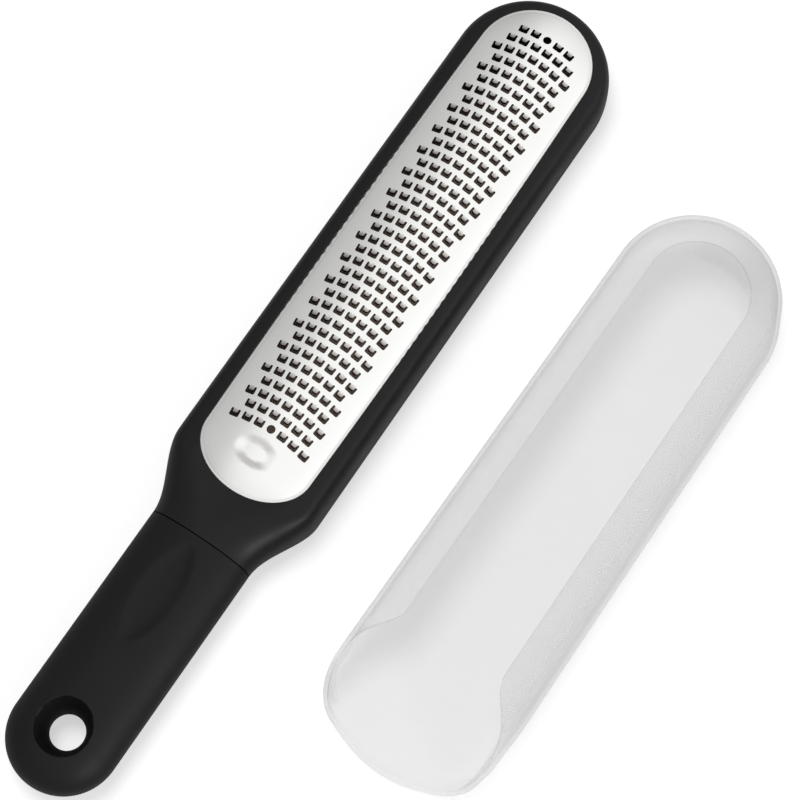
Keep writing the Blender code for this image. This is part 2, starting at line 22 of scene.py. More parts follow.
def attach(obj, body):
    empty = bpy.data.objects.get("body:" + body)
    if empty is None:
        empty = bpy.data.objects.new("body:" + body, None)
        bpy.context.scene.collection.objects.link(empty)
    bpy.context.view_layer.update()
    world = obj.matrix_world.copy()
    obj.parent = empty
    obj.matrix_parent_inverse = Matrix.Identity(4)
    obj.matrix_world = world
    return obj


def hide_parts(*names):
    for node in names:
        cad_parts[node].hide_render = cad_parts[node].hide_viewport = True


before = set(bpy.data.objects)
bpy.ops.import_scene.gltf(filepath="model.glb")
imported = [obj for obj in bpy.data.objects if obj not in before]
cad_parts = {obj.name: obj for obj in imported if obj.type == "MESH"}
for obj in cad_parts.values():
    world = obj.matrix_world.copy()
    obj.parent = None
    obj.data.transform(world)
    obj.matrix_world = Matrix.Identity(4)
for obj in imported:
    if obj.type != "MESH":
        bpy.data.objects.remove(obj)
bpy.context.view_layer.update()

LOG = logging.getLogger("ginger_grater")

Point = tuple[float, float]
Size = tuple[float, float, float]
Ring = list[Vector]

WHITE = (1.0, 1.0, 1.0, 1.0)
DOWN = Vector((0.0, 0.0, -1.0))
# Where the middle point of a small edge round lies, as a share of its radius.
ROUND_MIDDLE = 0.3
# Most of a noise texture's values lie between these.
NOISE_LOW, NOISE_HIGH = 0.3, 0.7


class Place(Enum):
    """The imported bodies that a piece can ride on."""

    GRATER = "grater"
    COVER = "cover_body"


def linear(colour: str) -> tuple[float, float, float, float]:
    """Turns an sRGB hex colour into linear light.

    Args:
        colour: Six hex digits with a leading hash.

    Returns:
        Red, green, blue and an alpha of 1.
    """
    parts = [int(colour[i:i + 2], 16) / 255 for i in (1, 3, 5)]
    shades = [c / 12.92 if c <= 0.04045 else ((c + 0.055) / 1.055) ** 2.4 for c in parts]
    return (shades[0], shades[1], shades[2], 1.0)


def mix(low: float, high: float, share: float) -> float:
    """Returns the value that lies a share of the way from low to high."""
    return low + (high - low) * share


def rise(value: float, start: float = 0.0, end: float = 1.0) -> float:
    """Returns the smooth step of a value, from 0 at the start to 1 at the end."""
    share = min(1.0, max(0.0, (value - start) / (end - start)))
    return share * share * (3.0 - 2.0 * share)


def rounded(angle: float, reach: float, height: float, fullness: float) -> Point:
    """Returns a point of a superellipse quarter as its inset from the widest line and its height."""
    power = 2.0 / fullness
    return reach * (1.0 - max(0.0, math.cos(angle)) ** power), height * max(0.0, math.sin(angle)) ** power


def feed(node: Node, sockets: dict[Any, Any]) -> Node:
    """Sets or links a node's inputs.

    Args:
        node: The node.
        sockets: Input name or index, to a value or to what feeds it: an output, a term, or a node by
            its first output.

    Returns:
        The same node.
    """
    for name, value in sockets.items():
        if isinstance(value, Term):
            value = value.socket
        elif isinstance(value, Node):
            value = value.outputs[0]
        if isinstance(value, NodeSocket):
            node.id_data.links.new(value, node.inputs[name])
        else:
            node.inputs[name].default_value = value
    return node


def add_node(tree: NodeTree, kind: str, sockets: dict[Any, Any] | None = None, **settings: Any) -> Node:
    """Adds one node with its settings, values and links.

    Args:
        tree: The node tree that the node goes into.
        kind: The node's type name.
        sockets: What its inputs are fed with, as feed() takes it.
        **settings: Properties set on the node before its inputs are looked up.

    Returns:
        The new node.
    """
    node = tree.nodes.new(kind)
    for name, value in settings.items():
        setattr(node, name, value)
    return feed(node, sockets or {})


@dataclass(frozen=True)
class Term:
    """A number in a node tree, so that a formula there is written as a formula."""

    tree: NodeTree
    socket: NodeSocket

    def reckoned(self, operation: str, *others: Any) -> "Term":
        """Returns the outcome of an operation on this term and the others."""
        values = dict(enumerate((self, *others)))
        return Term(self.tree, add_node(self.tree, "ShaderNodeMath", values, operation=operation).outputs[0])

    def __add__(self, other: Any) -> "Term":
        """Returns the sum."""
        return self.reckoned("ADD", other)

    def __sub__(self, other: Any) -> "Term":
        """Returns the difference."""
        return self.reckoned("SUBTRACT", other)

    def __mul__(self, other: Any) -> "Term":
        """Returns the product."""
        return self.reckoned("MULTIPLY", other)

    def __truediv__(self, other: Any) -> "Term":
        """Returns the quotient."""
        return self.reckoned("DIVIDE", other)


def finished_mesh(name: str, mesh: BMesh, sharp: float) -> Object:
    """Puts a mesh into the scene with smooth faces and its edges sharp past an angle.

    Args:
        name: The piece's name.
        mesh: The mesh in the row's frame. It is freed.
        sharp: The angle in degrees past which an edge shows as an edge.

    Returns:
        The new object, at the origin.
    """
    data = bpy.data.meshes.new(name)
    mesh.to_mesh(data)
    mesh.free()
    data.shade_smooth()
    data.set_sharp_from_angle(angle=math.radians(sharp))
    return linked(name, data)


def linked(name: str, data: Any) -> Object:
    """Puts data into the scene as an object.

    Args:
        name: The object's name.
        data: A mesh, curve, lamp or camera.

    Returns:
        The new object, at the origin.
    """
    thing = bpy.data.objects.new(name, data)
    bpy.context.collection.objects.link(thing)
    return thing


def boolean(target: Object, tool: Object, operation: str) -> None:
    """Cuts or joins a tool into a target, and removes the tool.

    Args:
        target: The object that is changed.
        tool: The object that cuts or joins.
        operation: DIFFERENCE or UNION.
    """
    modifier = target.modifiers.new("join", "BOOLEAN")
    modifier.operation = operation
    modifier.object = tool
    modifier.solver = "EXACT"
    graph = bpy.context.evaluated_depsgraph_get()
    result = bpy.data.meshes.new_from_object(target.evaluated_get(graph))
    target.modifiers.remove(modifier)
    target.data = result
    bpy.data.objects.remove(tool, do_unlink=True)


def skin(rings: Sequence[Ring], wrap: bool) -> BMesh:
    """Makes a closed mesh over rings of points. The last ring joins the first.

    Args:
        rings: Equally long rings of points, in order round the piece.
        wrap: True if each ring closes on itself, False if its ends meet on an axis.

    Returns:
        The mesh, with doubled points merged and its faces outwards.
    """
    doubled = 2e-6
    mesh = bmesh.new()
    grid = [[mesh.verts.new(point) for point in ring] for ring in rings]
    count = len(grid[0])
    for i, ring in enumerate(grid):
        following = grid[(i + 1) % len(grid)]
        for j in range(count if wrap else count - 1):
            k = (j + 1) % count
            mesh.faces.new((ring[j], following[j], following[k], ring[k]))
    bmesh.ops.remove_doubles(mesh, verts=mesh.verts, dist=doubled)
    bmesh.ops.dissolve_degenerate(mesh, edges=mesh.edges, dist=doubled)
    bmesh.ops.recalc_face_normals(mesh, faces=mesh.faces)
    return mesh


def bar(size: Size, root: float, level: float) -> BMesh:
    """Makes a square bar that runs back from the seam.

    Args:
        size: Its width, its length behind the seam, and its thickness.
        root: How far it reaches in front of the seam.
        level: The height of its axis.

    Returns:
        The bar's mesh.
    """
    width, length, thickness = size
    mesh = bmesh.new()
    bmesh.ops.create_cube(mesh, size=1.0)
    bmesh.ops.scale(mesh, vec=(width, length + root, thickness), verts=mesh.verts)
    bmesh.ops.translate(mesh, vec=(0, (root - length) / 2, level), verts=mesh.verts)
    return mesh


@dataclass(frozen=True)
class Finish:
    """What every finish has: two tones, a gloss that drifts in soft patches, and a fine relief.

    A noise is given as its detail and roughness. Relief sizes are the real ones along x, y and z, or
    as coarse as they need to be to show.
    """

    name: str
    slot: str
    colour: str
    second: str
    roughness: float
    relief_depth: float
    relief_mm: Size
    relief_noise: Point = (3.0, 0.6)
    relief_height: float = 0.0001
    patch_mm: float = 11.1111
    patch_noise: Point = (4.0, 0.55)
    drift: Point = (-0.05, 0.05)
    shine: float = 0.5
    metallic: float = 0.0
    density: float = 1.0

    def tone(self, tree: NodeTree, share: Any) -> NodeSocket:
        """Returns the colour that lies a share of the way between the two tones."""
        ends = {0: share, 6: linear(self.colour), 7: linear(self.second)}
        return add_node(tree, "ShaderNodeMix", ends, data_type="RGBA").outputs[2]

    def material(self) -> Material:
        """Builds the material.

        Returns:
            A material on Object coordinates, whose tone, gloss and relief vary over the piece.
        """
        material = bpy.data.materials.new(self.name)
        material.use_nodes = True
        tree = material.node_tree
        place = add_node(tree, "ShaderNodeTexCoord").outputs["Object"]
        detail, coarse = self.patch_noise
        patches = add_node(tree, "ShaderNodeTexNoise", {
            "Vector": place, "Scale": 1000 / self.patch_mm, "Detail": detail, "Roughness": coarse})
        low, high = (self.roughness + step for step in self.drift)
        rough = add_node(tree, "ShaderNodeMapRange", {
            "Value": patches, "From Min": NOISE_LOW, "From Max": NOISE_HIGH, "To Min": low, "To Max": high})
        scale = tuple(1000 / size for size in self.relief_mm)
        spot = add_node(tree, "ShaderNodeMapping", {"Vector": place, "Scale": scale})
        detail, coarse = self.relief_noise
        relief = add_node(tree, "ShaderNodeTexNoise", {
            "Vector": spot, "Scale": 1.0, "Detail": detail, "Roughness": coarse})
        bump = add_node(tree, "ShaderNodeBump", {
            "Height": relief, "Strength": self.relief_depth, "Distance": self.relief_height})
        feed(tree.nodes["Principled BSDF"], {
            "Base Color": self.tone(tree, patches), "Roughness": rough, "Normal": bump,
            "Specular IOR Level": self.shine, "Metallic": self.metallic, "Alpha": self.density})
        return material


@dataclass(frozen=True)
class BlackAbs(Finish):
    """Moulded black ABS: a dark satin face under the spark-eroded texture of its mould.

    That texture's grain is about 0.2 mm, and is drawn twice as coarse.
    """

    name: str = "moulded_black_abs"
    slot: str = "satin_black_plastic"
    colour: str = "#0b0b0b"
    second: str = "#0e0e0e"
    roughness: float = 0.42
    relief_depth: float = 0.16
    relief_mm: Size = (0.45, 0.45, 0.45)
    shine: float = 0.21


@dataclass(frozen=True)
class SoftElastomer(Finish):
    """Moulded soft-touch elastomer: nearly as black as the frame, and duller with a deeper grain.

    Its grain is about 0.2 mm, and is drawn twice as coarse.
    """

    name: str = "moulded_soft_touch_elastomer"
    slot: str = "soft_black_grip"
    colour: str = "#0c0c0c"
    second: str = "#0f0f0f"
    roughness: float = 0.5
    relief_depth: float = 0.24
    relief_mm: Size = (0.4, 0.4, 0.4)
    shine: float = 0.19


@dataclass(frozen=True)
class SatinSteel(Finish):
    """Rolled stainless steel, lightly brushed: a satin sheen, brown-black where acid has cut it, and
    painted shade towards that brown-black on the tongues, the rim and the dimple.

    Brush lines run across the plate. Real ones are about 0.05 mm apart, and are drawn 0.35 mm apart.
    """

    name: str = "rolled_stainless_steel"
    slot: str = "satin_stainless_steel"
    colour: str = "#e4e4e2"
    second: str = "#5a4f49"
    roughness: float = 0.27
    relief_depth: float = 0.05
    relief_mm: Size = (25.0, 0.35, 25.0)
    relief_noise: Point = (2.0, 0.5)
    patch_mm: float = 8.3333
    patch_noise: Point = (3.0, 0.5)
    drift: Point = (-0.03, 0.04)
    metallic: float = 1.0

    def tone(self, tree: NodeTree, share: Any) -> NodeSocket:
        """Returns the steel's colour, darker where the sheet's own attribute marks an etched cut or painted
        shade.
        """
        cut = add_node(tree, "ShaderNodeAttribute", attribute_name="etched").outputs["Fac"]
        return super().tone(tree, cut)


@dataclass(frozen=True)
class FrostedPolypropylene(Finish):
    """Natural polypropylene, moulded with a matt texture: milky and see-through, with flow marks.

    Each face of the wall lets part of the light by, so two walls look denser than one. The texture's
    grain is about 0.1 mm, and is drawn 0.4 mm wide.
    """

    name: str = "moulded_natural_polypropylene"
    slot: str = "translucent_white_plastic"
    colour: str = "#e7e8e7"
    second: str = "#eeefee"
    roughness: float = 0.36
    relief_depth: float = 0.04
    relief_mm: Size = (0.4, 0.4, 0.4)
    relief_noise: Point = (2.0, 0.5)
    patch_mm: float = 16.6667
    patch_noise: Point = (5.0, 0.6)
    drift: Point = (-0.04, 0.06)
    density: float = 0.3

    def tone(self, tree: NodeTree, share: Any) -> NodeSocket:
        """Gives the plastic's colour, times the tone that the tray's own attribute holds, with its painted
        shade and light.

        Args:
            tree: The material's node tree.
            share: What places the colour between the two tones.

        Returns:
            The output with the colour.
        """
        # The attribute holds the greyer walls, and painted shade and light.
        milk_and_painted_light = add_node(tree, "ShaderNodeAttribute", attribute_name="milk_and_painted_light").outputs["Fac"]
        product = {0: super().tone(tree, share), "Scale": milk_and_painted_light}
        return add_node(tree, "ShaderNodeVectorMath", product, operation="SCALE").outputs[0]


@dataclass(frozen=True)
class PlateShape:
    """The opening's outline and the dome that plate, groove and lip share.

    In its methods, x is a place across the plate and y is one along it. The pairs dimple_floor and
    dimple_shade hold the value for the dimple's lower half, towards the grip, and for its upper half.
    Each of the three pairs after them says where the painted shade begins and where it is full.
    """

    half_width: float = 0.0160
    bulge: float = 0.0007
    tip_centre: float = 0.1539
    heel_centre: float = 0.0264
    heel_round: float = 0.0120
    crown: float = 0.0222
    rise: float = 0.0035
    dimple_centre: float = 0.0253
    dimple_length: float = 0.0124
    dimple_reach: float = 0.0041
    dimple_ends: float = 0.45
    dimple_depth: float = 0.0004
    dimple_floor: Point = (0.42, 0.40)
    # Painted shade on the dimple's flanks, for the lower and the upper half.
    dimple_shade: Point = (0.46, 0.36)
    shade_inner: Point = (0.0, 0.3)
    shade_outer: Point = (1.1, 0.75)
    shade_facing: Point = (0.0, 0.75)
    dome_limit: float = 0.9
    rim_soft: float = 0.0001
    rim_width: float = 0.0009
    rim_slope: float = -0.24
    rim_edge: float = 0.0001
    # Painted shade along the rim.
    rim_shade: float = 0.16
    fold: float = 0.00002
    fold_width: float = 0.0004
    tuck: float = 0.63

    @property
    def radius(self) -> float:
        """Radius of the dome across the plate."""
        return (self.half_width ** 2 + self.rise ** 2) / (2 * self.rise)

    def reach(self, x: float, y: float) -> float:
        """Returns how far a point lies from the dome's crown line, as if across the plate.

        Args:
            x: Across.
            y: Along.

        Returns:
            The distance.
        """
        if y > self.tip_centre:
            return math.hypot(x, y - self.tip_centre)
        if y < self.heel_centre:
            return math.hypot(x, (y - self.heel_centre) * self.half_width / self.heel_round)
        return abs(x)

    def edge(self, x: float, y: float) -> float:
        """Returns how far a point lies inside the opening's edge. It is negative under the lip."""
        place = min(1.0, max(0.0, (y - self.heel_centre) / (self.tip_centre - self.heel_centre)))
        return self.half_width + self.bulge * 4 * place * (1 - place) - self.reach(x, y)

    def bed(self, x: float, y: float) -> float:
        """Gives the upper face without the dimple: dome, fold, flatter rim and tucked edge.

        Args:
            x: Across.
            y: Along.

        Returns:
            The height.
        """
        inside = self.edge(x, y)
        rim = max(0.0, self.rim_width - inside)
        reach = min(self.reach(x, y) - rim, self.radius * self.dome_limit)
        dome = self.crown - self.radius + math.sqrt(self.radius ** 2 - reach ** 2)
        dome -= self.fold * rise(inside, self.rim_width + self.fold_width, self.rim_width)
        dome += self.rim_slope * min(rim, self.rim_width)
        return dome - self.tuck * max(0.0, self.rim_edge - inside)

    def flank(self, x: float, y: float) -> tuple[float, float, bool]:
        """Finds a place on the dimple's flank.

        Args:
            x: Across.
            y: Along.

        Returns:
            How far out it lies, how far it faces along the plate, and True on the upper half.
        """
        upper = y > self.dimple_centre
        across = x / self.dimple_length * 2
        along = (y - self.dimple_centre) / self.dimple_reach
        reach = math.hypot(across, along)
        facing = (along / max(reach, 1e-9)) ** 2
        floor = mix(self.dimple_ends, self.dimple_floor[upper], facing)
        return (reach - floor) / (1 - floor), facing, upper

    def pressed(self, x: float, y: float) -> float:
        """Returns the height of the upper face with the dimple pressed in."""
        return self.bed(x, y) - self.dimple_depth * (1.0 - rise(self.flank(x, y)[0]))

    def painted_shade(self, x: float, y: float) -> float:
        """Gives the painted shade on the rim and on the dimple's two long flanks.

        Args:
            x: Across.
            y: Along.

        Returns:
            A share from 0 to 1.
        """
        # Painted shade: a band on the dimple's long flanks, and one along the rim.
        out, facing, upper = self.flank(x, y)
        band = rise(out, *self.shade_inner) * rise(out, *self.shade_outer) * rise(facing, *self.shade_facing)
        inside = self.edge(x, y)
        rim = rise(inside, self.rim_width + 2 * self.rim_soft, self.rim_width - self.rim_soft)
        rim *= rise(inside, self.rim_edge, self.rim_edge + self.rim_soft)
        return max(self.dimple_shade[upper] * band, self.rim_shade * rim)

    def outline(self, place: float, side: float, outset: float) -> Point:
        """Returns a point of the opening's outline, moved outwards.

        Args:
            place: -1 at the heel, 0 to 1 up the straight side, 2 at the tip.
            side: 1 on the right, -1 on the left.
            outset: How far the point is moved outwards.

        Returns:
            The point's x and y.
        """
        half = self.half_width + outset
        if place < 0:
            angle = -place * math.pi / 2
            drop = (self.heel_round + outset) * math.sin(angle)
            return side * half * math.cos(angle), self.heel_centre - drop
        if place > 1:
            angle = (place - 1) * math.pi / 2
            return side * half * math.cos(angle), self.tip_centre + half * math.sin(angle)
        half += self.bulge * 4 * place * (1 - place)
        return side * half, mix(self.heel_centre, self.tip_centre, place)


def stations(heel: int, side: int, tip: int, shared: int) -> list[Point]:
    """Lists places round the opening, up its right side and down its left.

    Args:
        heel: Steps round each half of the heel.
        side: Steps along each straight side.
        tip: Steps round each half of the tip.
        shared: How many places at the heel the left side leaves to the right one.

    Returns:
        Pairs of place and side, as PlateShape.outline takes them.
    """
    places = [i / heel - 1 for i in range(heel)] + [i / side for i in range(side)]
    places += [1 + i / tip for i in range(tip)]
    left = [(place, -1.0) for place in reversed(places[shared:])]
    return [(place, 1.0) for place in places] + [(2.0, 1.0)] + left


@dataclass
class Piece:
    """What every sub-assembly has: its place in the row's frame."""

    origin: Vector = field(default_factory=lambda: Vector((-0.036327, -0.0502, 0.0)))
    turn: float = 0.0

    def placed(self, name: str, mesh: BMesh, sharp: float) -> Object:
        """Puts a mesh into the scene, moved from the sub-assembly's own frame into the row's."""
        mesh.transform(Matrix.Translation(self.origin) @ Matrix.Rotation(self.turn, 4, "Z"))
        return finished_mesh(name, mesh, sharp)

    def dress(self, thing: Object, finish: Finish, body: Place, node: str) -> None:
        """Gives a piece its finish and tells the frame what it rides on and stands for.

        Args:
            thing: The finished object.
            finish: The finish. Its material is made here if nothing has made it yet.
            body: The body that the piece rides on.
            node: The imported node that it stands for.
        """
        thing.data.materials.clear()
        thing.data.materials.append(bpy.data.materials.get(finish.name) or finish.material())
        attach(thing, body.value)
        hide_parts(node)
        LOG.info("%s: %d faces, for %s", thing.name, len(thing.data.polygons), node)


@dataclass
class HeadFrame(Piece):
    """The moulded ring round the plate, with its neck and tang."""

    width: float = 0.0432
    length: float = 0.1741
    depth: float = 0.0194
    widest: float = 0.0095
    shoulder: float = 0.0040
    shoulder_fullness: float = 2.9
    back: float = 0.0038
    back_fullness: float = 2.6
    fall: float = 0.2
    neck_width: float = 0.0296
    neck_depth: float = 0.0200
    neck_fullness: float = 2.2
    flare: float = 0.0210
    lip_sink: float = 0.00022
    lip_edge: float = 0.00006
    lip_gap: float = 0.00003
    gap: float = 0.0003
    seat: float = 0.0014
    ledge: float = 0.0011
    draft: float = 0.0008
    sheet: float = 0.0006
    tang: Size = (0.0180, 0.0480, 0.0090)
    tang_root: float = 0.0060
    tang_round: float = 0.0015
    wave_pitch: float = 0.00263
    wave_depth: float = 0.00015
    wave_ends: Point = (0.050, 0.132)
    wave_fade: float = 0.025
    neck_steps: int = 44
    side_steps: int = 320
    tip_steps: int = 40
    section_steps: int = 18
    wall_steps: int = 4
    sharp: float = 28.0
    shape: PlateShape = field(default_factory=PlateShape)

    def ring(self, place: float, side: float) -> Ring:
        """Builds one section, from the widest line over the lip, the groove and the trough.

        Args:
            place: Station along the opening's outline.
            side: 1 on the right, -1 on the left.

        Returns:
            The section's points.
        """
        centre_y = self.length - self.width / 2
        flare = 1.0
        half = self.width / 2
        if place > 1:
            angle = (place - 1) * math.pi / 2
            inward = Vector((-side * math.cos(angle), -math.sin(angle), 0))
            outline = Vector((0, centre_y, 0)) - inward * half
        else:
            start = self.shape.heel_centre
            y = mix(start, centre_y, place) if place > 0 else start * (1 + place)
            flare = rise(y, 0.0, self.flare)
            half = mix(self.neck_width, self.width, flare) / 2
            inward = Vector((-side, 0, 0))
            outline = Vector((side * half, y, 0))
        widest = mix(self.neck_depth / 2, self.widest, flare)
        top = mix(self.neck_depth, self.depth, flare)
        span = (outline.xy - Vector(self.shape.outline(place, side, 0.0))).length
        halves: list[Ring] = []
        for reach, tall, fullness, way in ((self.shoulder, top - widest, self.shoulder_fullness, 1),
                                           (self.back, widest, self.back_fullness, -1)):
            points = []
            for i in range(self.section_steps + 1):
                angle = i / self.section_steps * math.pi / 2
                full = mix(self.neck_fullness, fullness, flare)
                inset, height = rounded(angle, mix(half, reach, flare), tall, full)
                if way > 0:
                    drop = self.lip_sink + self.fall * max(0.0, span - inset)
                    height *= 1 - drop * flare ** 2 / tall
                points.append(outline + inward * inset + Vector((0, 0, widest + way * height)))
            halves.append(points)
        return halves[0] + self.inner_edge(place, side) + halves[1][:0:-1]

    def inner_edge(self, place: float, side: float) -> Ring:
        """Builds a section's inner part: lip, groove for the plate, ledge and trough wall.

        Args:
            place: Station along the opening's outline.
            side: 1 on the right, -1 on the left.

        Returns:
            The points from the lip down to the trough's edge.
        """
        bed = self.shape.bed
        under = self.sheet + self.gap
        wave = self.wave(self.shape.outline(place, side, 0.0)[1]) if 0 < place < 1 else 0.0
        level = self.depth - self.lip_sink
        soft = self.lip_edge
        points = []
        for share, drop in ((1.0, 0.0), (ROUND_MIDDLE, ROUND_MIDDLE), (0.0, 1.0)):
            points.append((self.shape.outline(place, side, soft * share + wave), level - soft * drop))
        groove = self.seat + self.gap
        for outset, lift in ((wave, self.lip_gap), (groove, self.lip_gap),
                             (groove, -under), (-self.ledge, -under)):
            spot = self.shape.outline(place, side, outset)
            points.append((spot, bed(*spot) + lift))
        foot = points[-1][1]
        for i in range(1, self.wall_steps + 1):
            share = i / self.wall_steps
            spot = self.shape.outline(place, side, -self.ledge + self.draft * share)
            points.append((spot, foot * (1 - share)))
        return [Vector((spot[0], spot[1], height)) for spot, height in points]

    def wave(self, y: float) -> float:
        """Gives how far the lip's edge steps back. It is finely waved along the plate's middle.

        Args:
            y: A place along the plate.

        Returns:
            The distance.
        """
        start, end = self.wave_ends
        fade = rise(y, start, start + self.wave_fade) * rise(y, end, end - self.wave_fade)
        return self.wave_depth * fade * math.cos(2 * math.pi * y / self.wave_pitch)

    def build(self) -> None:
        """Builds the ring and neck, joins the tang, and dresses the piece."""
        places = stations(self.neck_steps, self.side_steps, self.tip_steps, 0)
        moulding = skin([self.ring(*station) for station in places], True)
        body = self.placed("head_frame_moulding", moulding, self.sharp)
        tang = bar(self.tang, self.tang_root, self.neck_depth / 2)
        long = [e for e in tang.edges if abs((e.verts[0].co - e.verts[1].co).y) > self.tang[1] / 2]
        bmesh.ops.bevel(tang, geom=long, offset=self.tang_round, segments=3, affect="EDGES", profile=0.5)
        boolean(body, self.placed("tang_form", tang, self.sharp), "UNION")
        self.dress(body, BlackAbs(), Place.GRATER, "head_frame")


@dataclass
class HandleGrip(Piece):
    """The soft sleeve over the tang, with its thumb dish and hanging hole."""

    width: float = 0.0296
    thickness: float = 0.0200
    length: float = 0.0737
    fullness: float = 2.2
    gap: float = 0.0003
    hole: float = 0.0092
    hole_flare: float = 0.0162
    hole_from_end: float = 0.0160
    hole_power: float = 1.6
    hole_spread: float = 1.25
    hole_past: float = 1.2
    dish_length: float = 0.0297
    dish_width: float = 0.0124
    dish_depth: float = 0.0013
    dish_from_seam: float = 0.0026
    dish_point: Point = (2.2, 0.75)
    dish_bowl: float = 1.6
    dish_fade: float = 4.0
    socket: Size = (0.0186, 0.0483, 0.0096)
    socket_root: float = 0.0060
    side_steps: int = 110
    end_steps: int = 80
    section_steps: int = 72
    hole_steps: int = 40
    hole_turns: int = 96

    def ring(self, outline: Vector, inward: Vector) -> Ring:
        """Builds one section along an inward line, from the underside over the widest line to the top.

        Args:
            outline: The point on the plan outline.
            inward: The level direction to the grip's middle line.

        Returns:
            The section's points, which end on the middle line.
        """
        middle = self.thickness / 2
        points = []
        for i in range(self.section_steps + 1):
            angle = (2 * i / self.section_steps - 1) * math.pi / 2
            inset, height = rounded(abs(angle), self.width / 2, middle, self.fullness)
            place = outline + inward * inset
            dip = self.dish(place) if angle > 0 else 0.0
            points.append(Vector((place.x, place.y, middle + math.copysign(height, angle) - dip)))
        return points

    def dish(self, place: Vector) -> float:
        """Gives the thumb dish: a pointed oval with soft flanks.

        Args:
            place: A place on the grip.

        Returns:
            The dish's depth there.
        """
        middle = -self.dish_from_seam - self.dish_length / 2
        along = abs(place.y - middle) / (self.dish_length / 2)
        if along >= 1:
            return 0.0
        narrow, blunt = self.dish_point
        half = self.dish_width / 2 * (1 - along ** narrow) ** blunt
        across = abs(place.x) / max(half, 1e-6)
        return self.dish_depth * (1 - rise(across ** self.dish_bowl)) * (1 - along ** self.dish_fade)

    def hole_form(self) -> BMesh:
        """Makes the waisted form of the hanging hole, steep in the bowls and round at the waist.

        Returns:
            The form's mesh, which reaches past the sleeve above and below.
        """
        middle = self.thickness / 2
        waist = self.hole / 2
        flare = (self.hole_flare / 2 - waist) * self.hole_spread
        profile = [(0.0, middle * (1 - self.hole_past))]
        for i in range(self.hole_steps + 1):
            share = 2 * i / self.hole_steps - 1
            radius = waist + flare * abs(share) ** self.hole_power
            profile.append((radius, middle * (1 + share * self.hole_past)))
        profile.append((0.0, middle * (1 + self.hole_past)))
        centre = Vector((0, self.hole_from_end - self.length, 0))
        rings = []
        for i in range(self.hole_turns):
            angle = 2 * math.pi * i / self.hole_turns
            rings.append([centre + Vector((r * math.cos(angle), r * math.sin(angle), z)) for r, z in profile])
        return skin(rings, False)

    def build(self) -> None:
        """Builds the sleeve, cuts socket and hole, and dresses the piece."""
        half = self.width / 2
        end_y = half - self.length
        sides = [mix(-self.gap, end_y, i / self.side_steps) for i in range(self.side_steps + 1)]
        sections = [(Vector((half, y, 0)), Vector((-1, 0, 0))) for y in sides]
        for i in range(1, self.end_steps):
            angle = math.pi * i / self.end_steps
            inward = Vector((-math.cos(angle), math.sin(angle), 0))
            sections.append((Vector((0, end_y, 0)) - inward * half, inward))
        sections += [(Vector((-half, y, 0)), Vector((1, 0, 0))) for y in reversed(sides)]
        grip = self.placed("soft_grip", skin([self.ring(*section) for section in sections], False), 32)
        socket = bar(self.socket, self.socket_root, self.thickness / 2)
        for name, form in (("socket_form", socket), ("hole_form", self.hole_form())):
            boolean(grip, self.placed(name, form, 30), "DIFFERENCE")
        self.dress(grip, SoftElastomer(), Place.GRATER, "handle_grip")


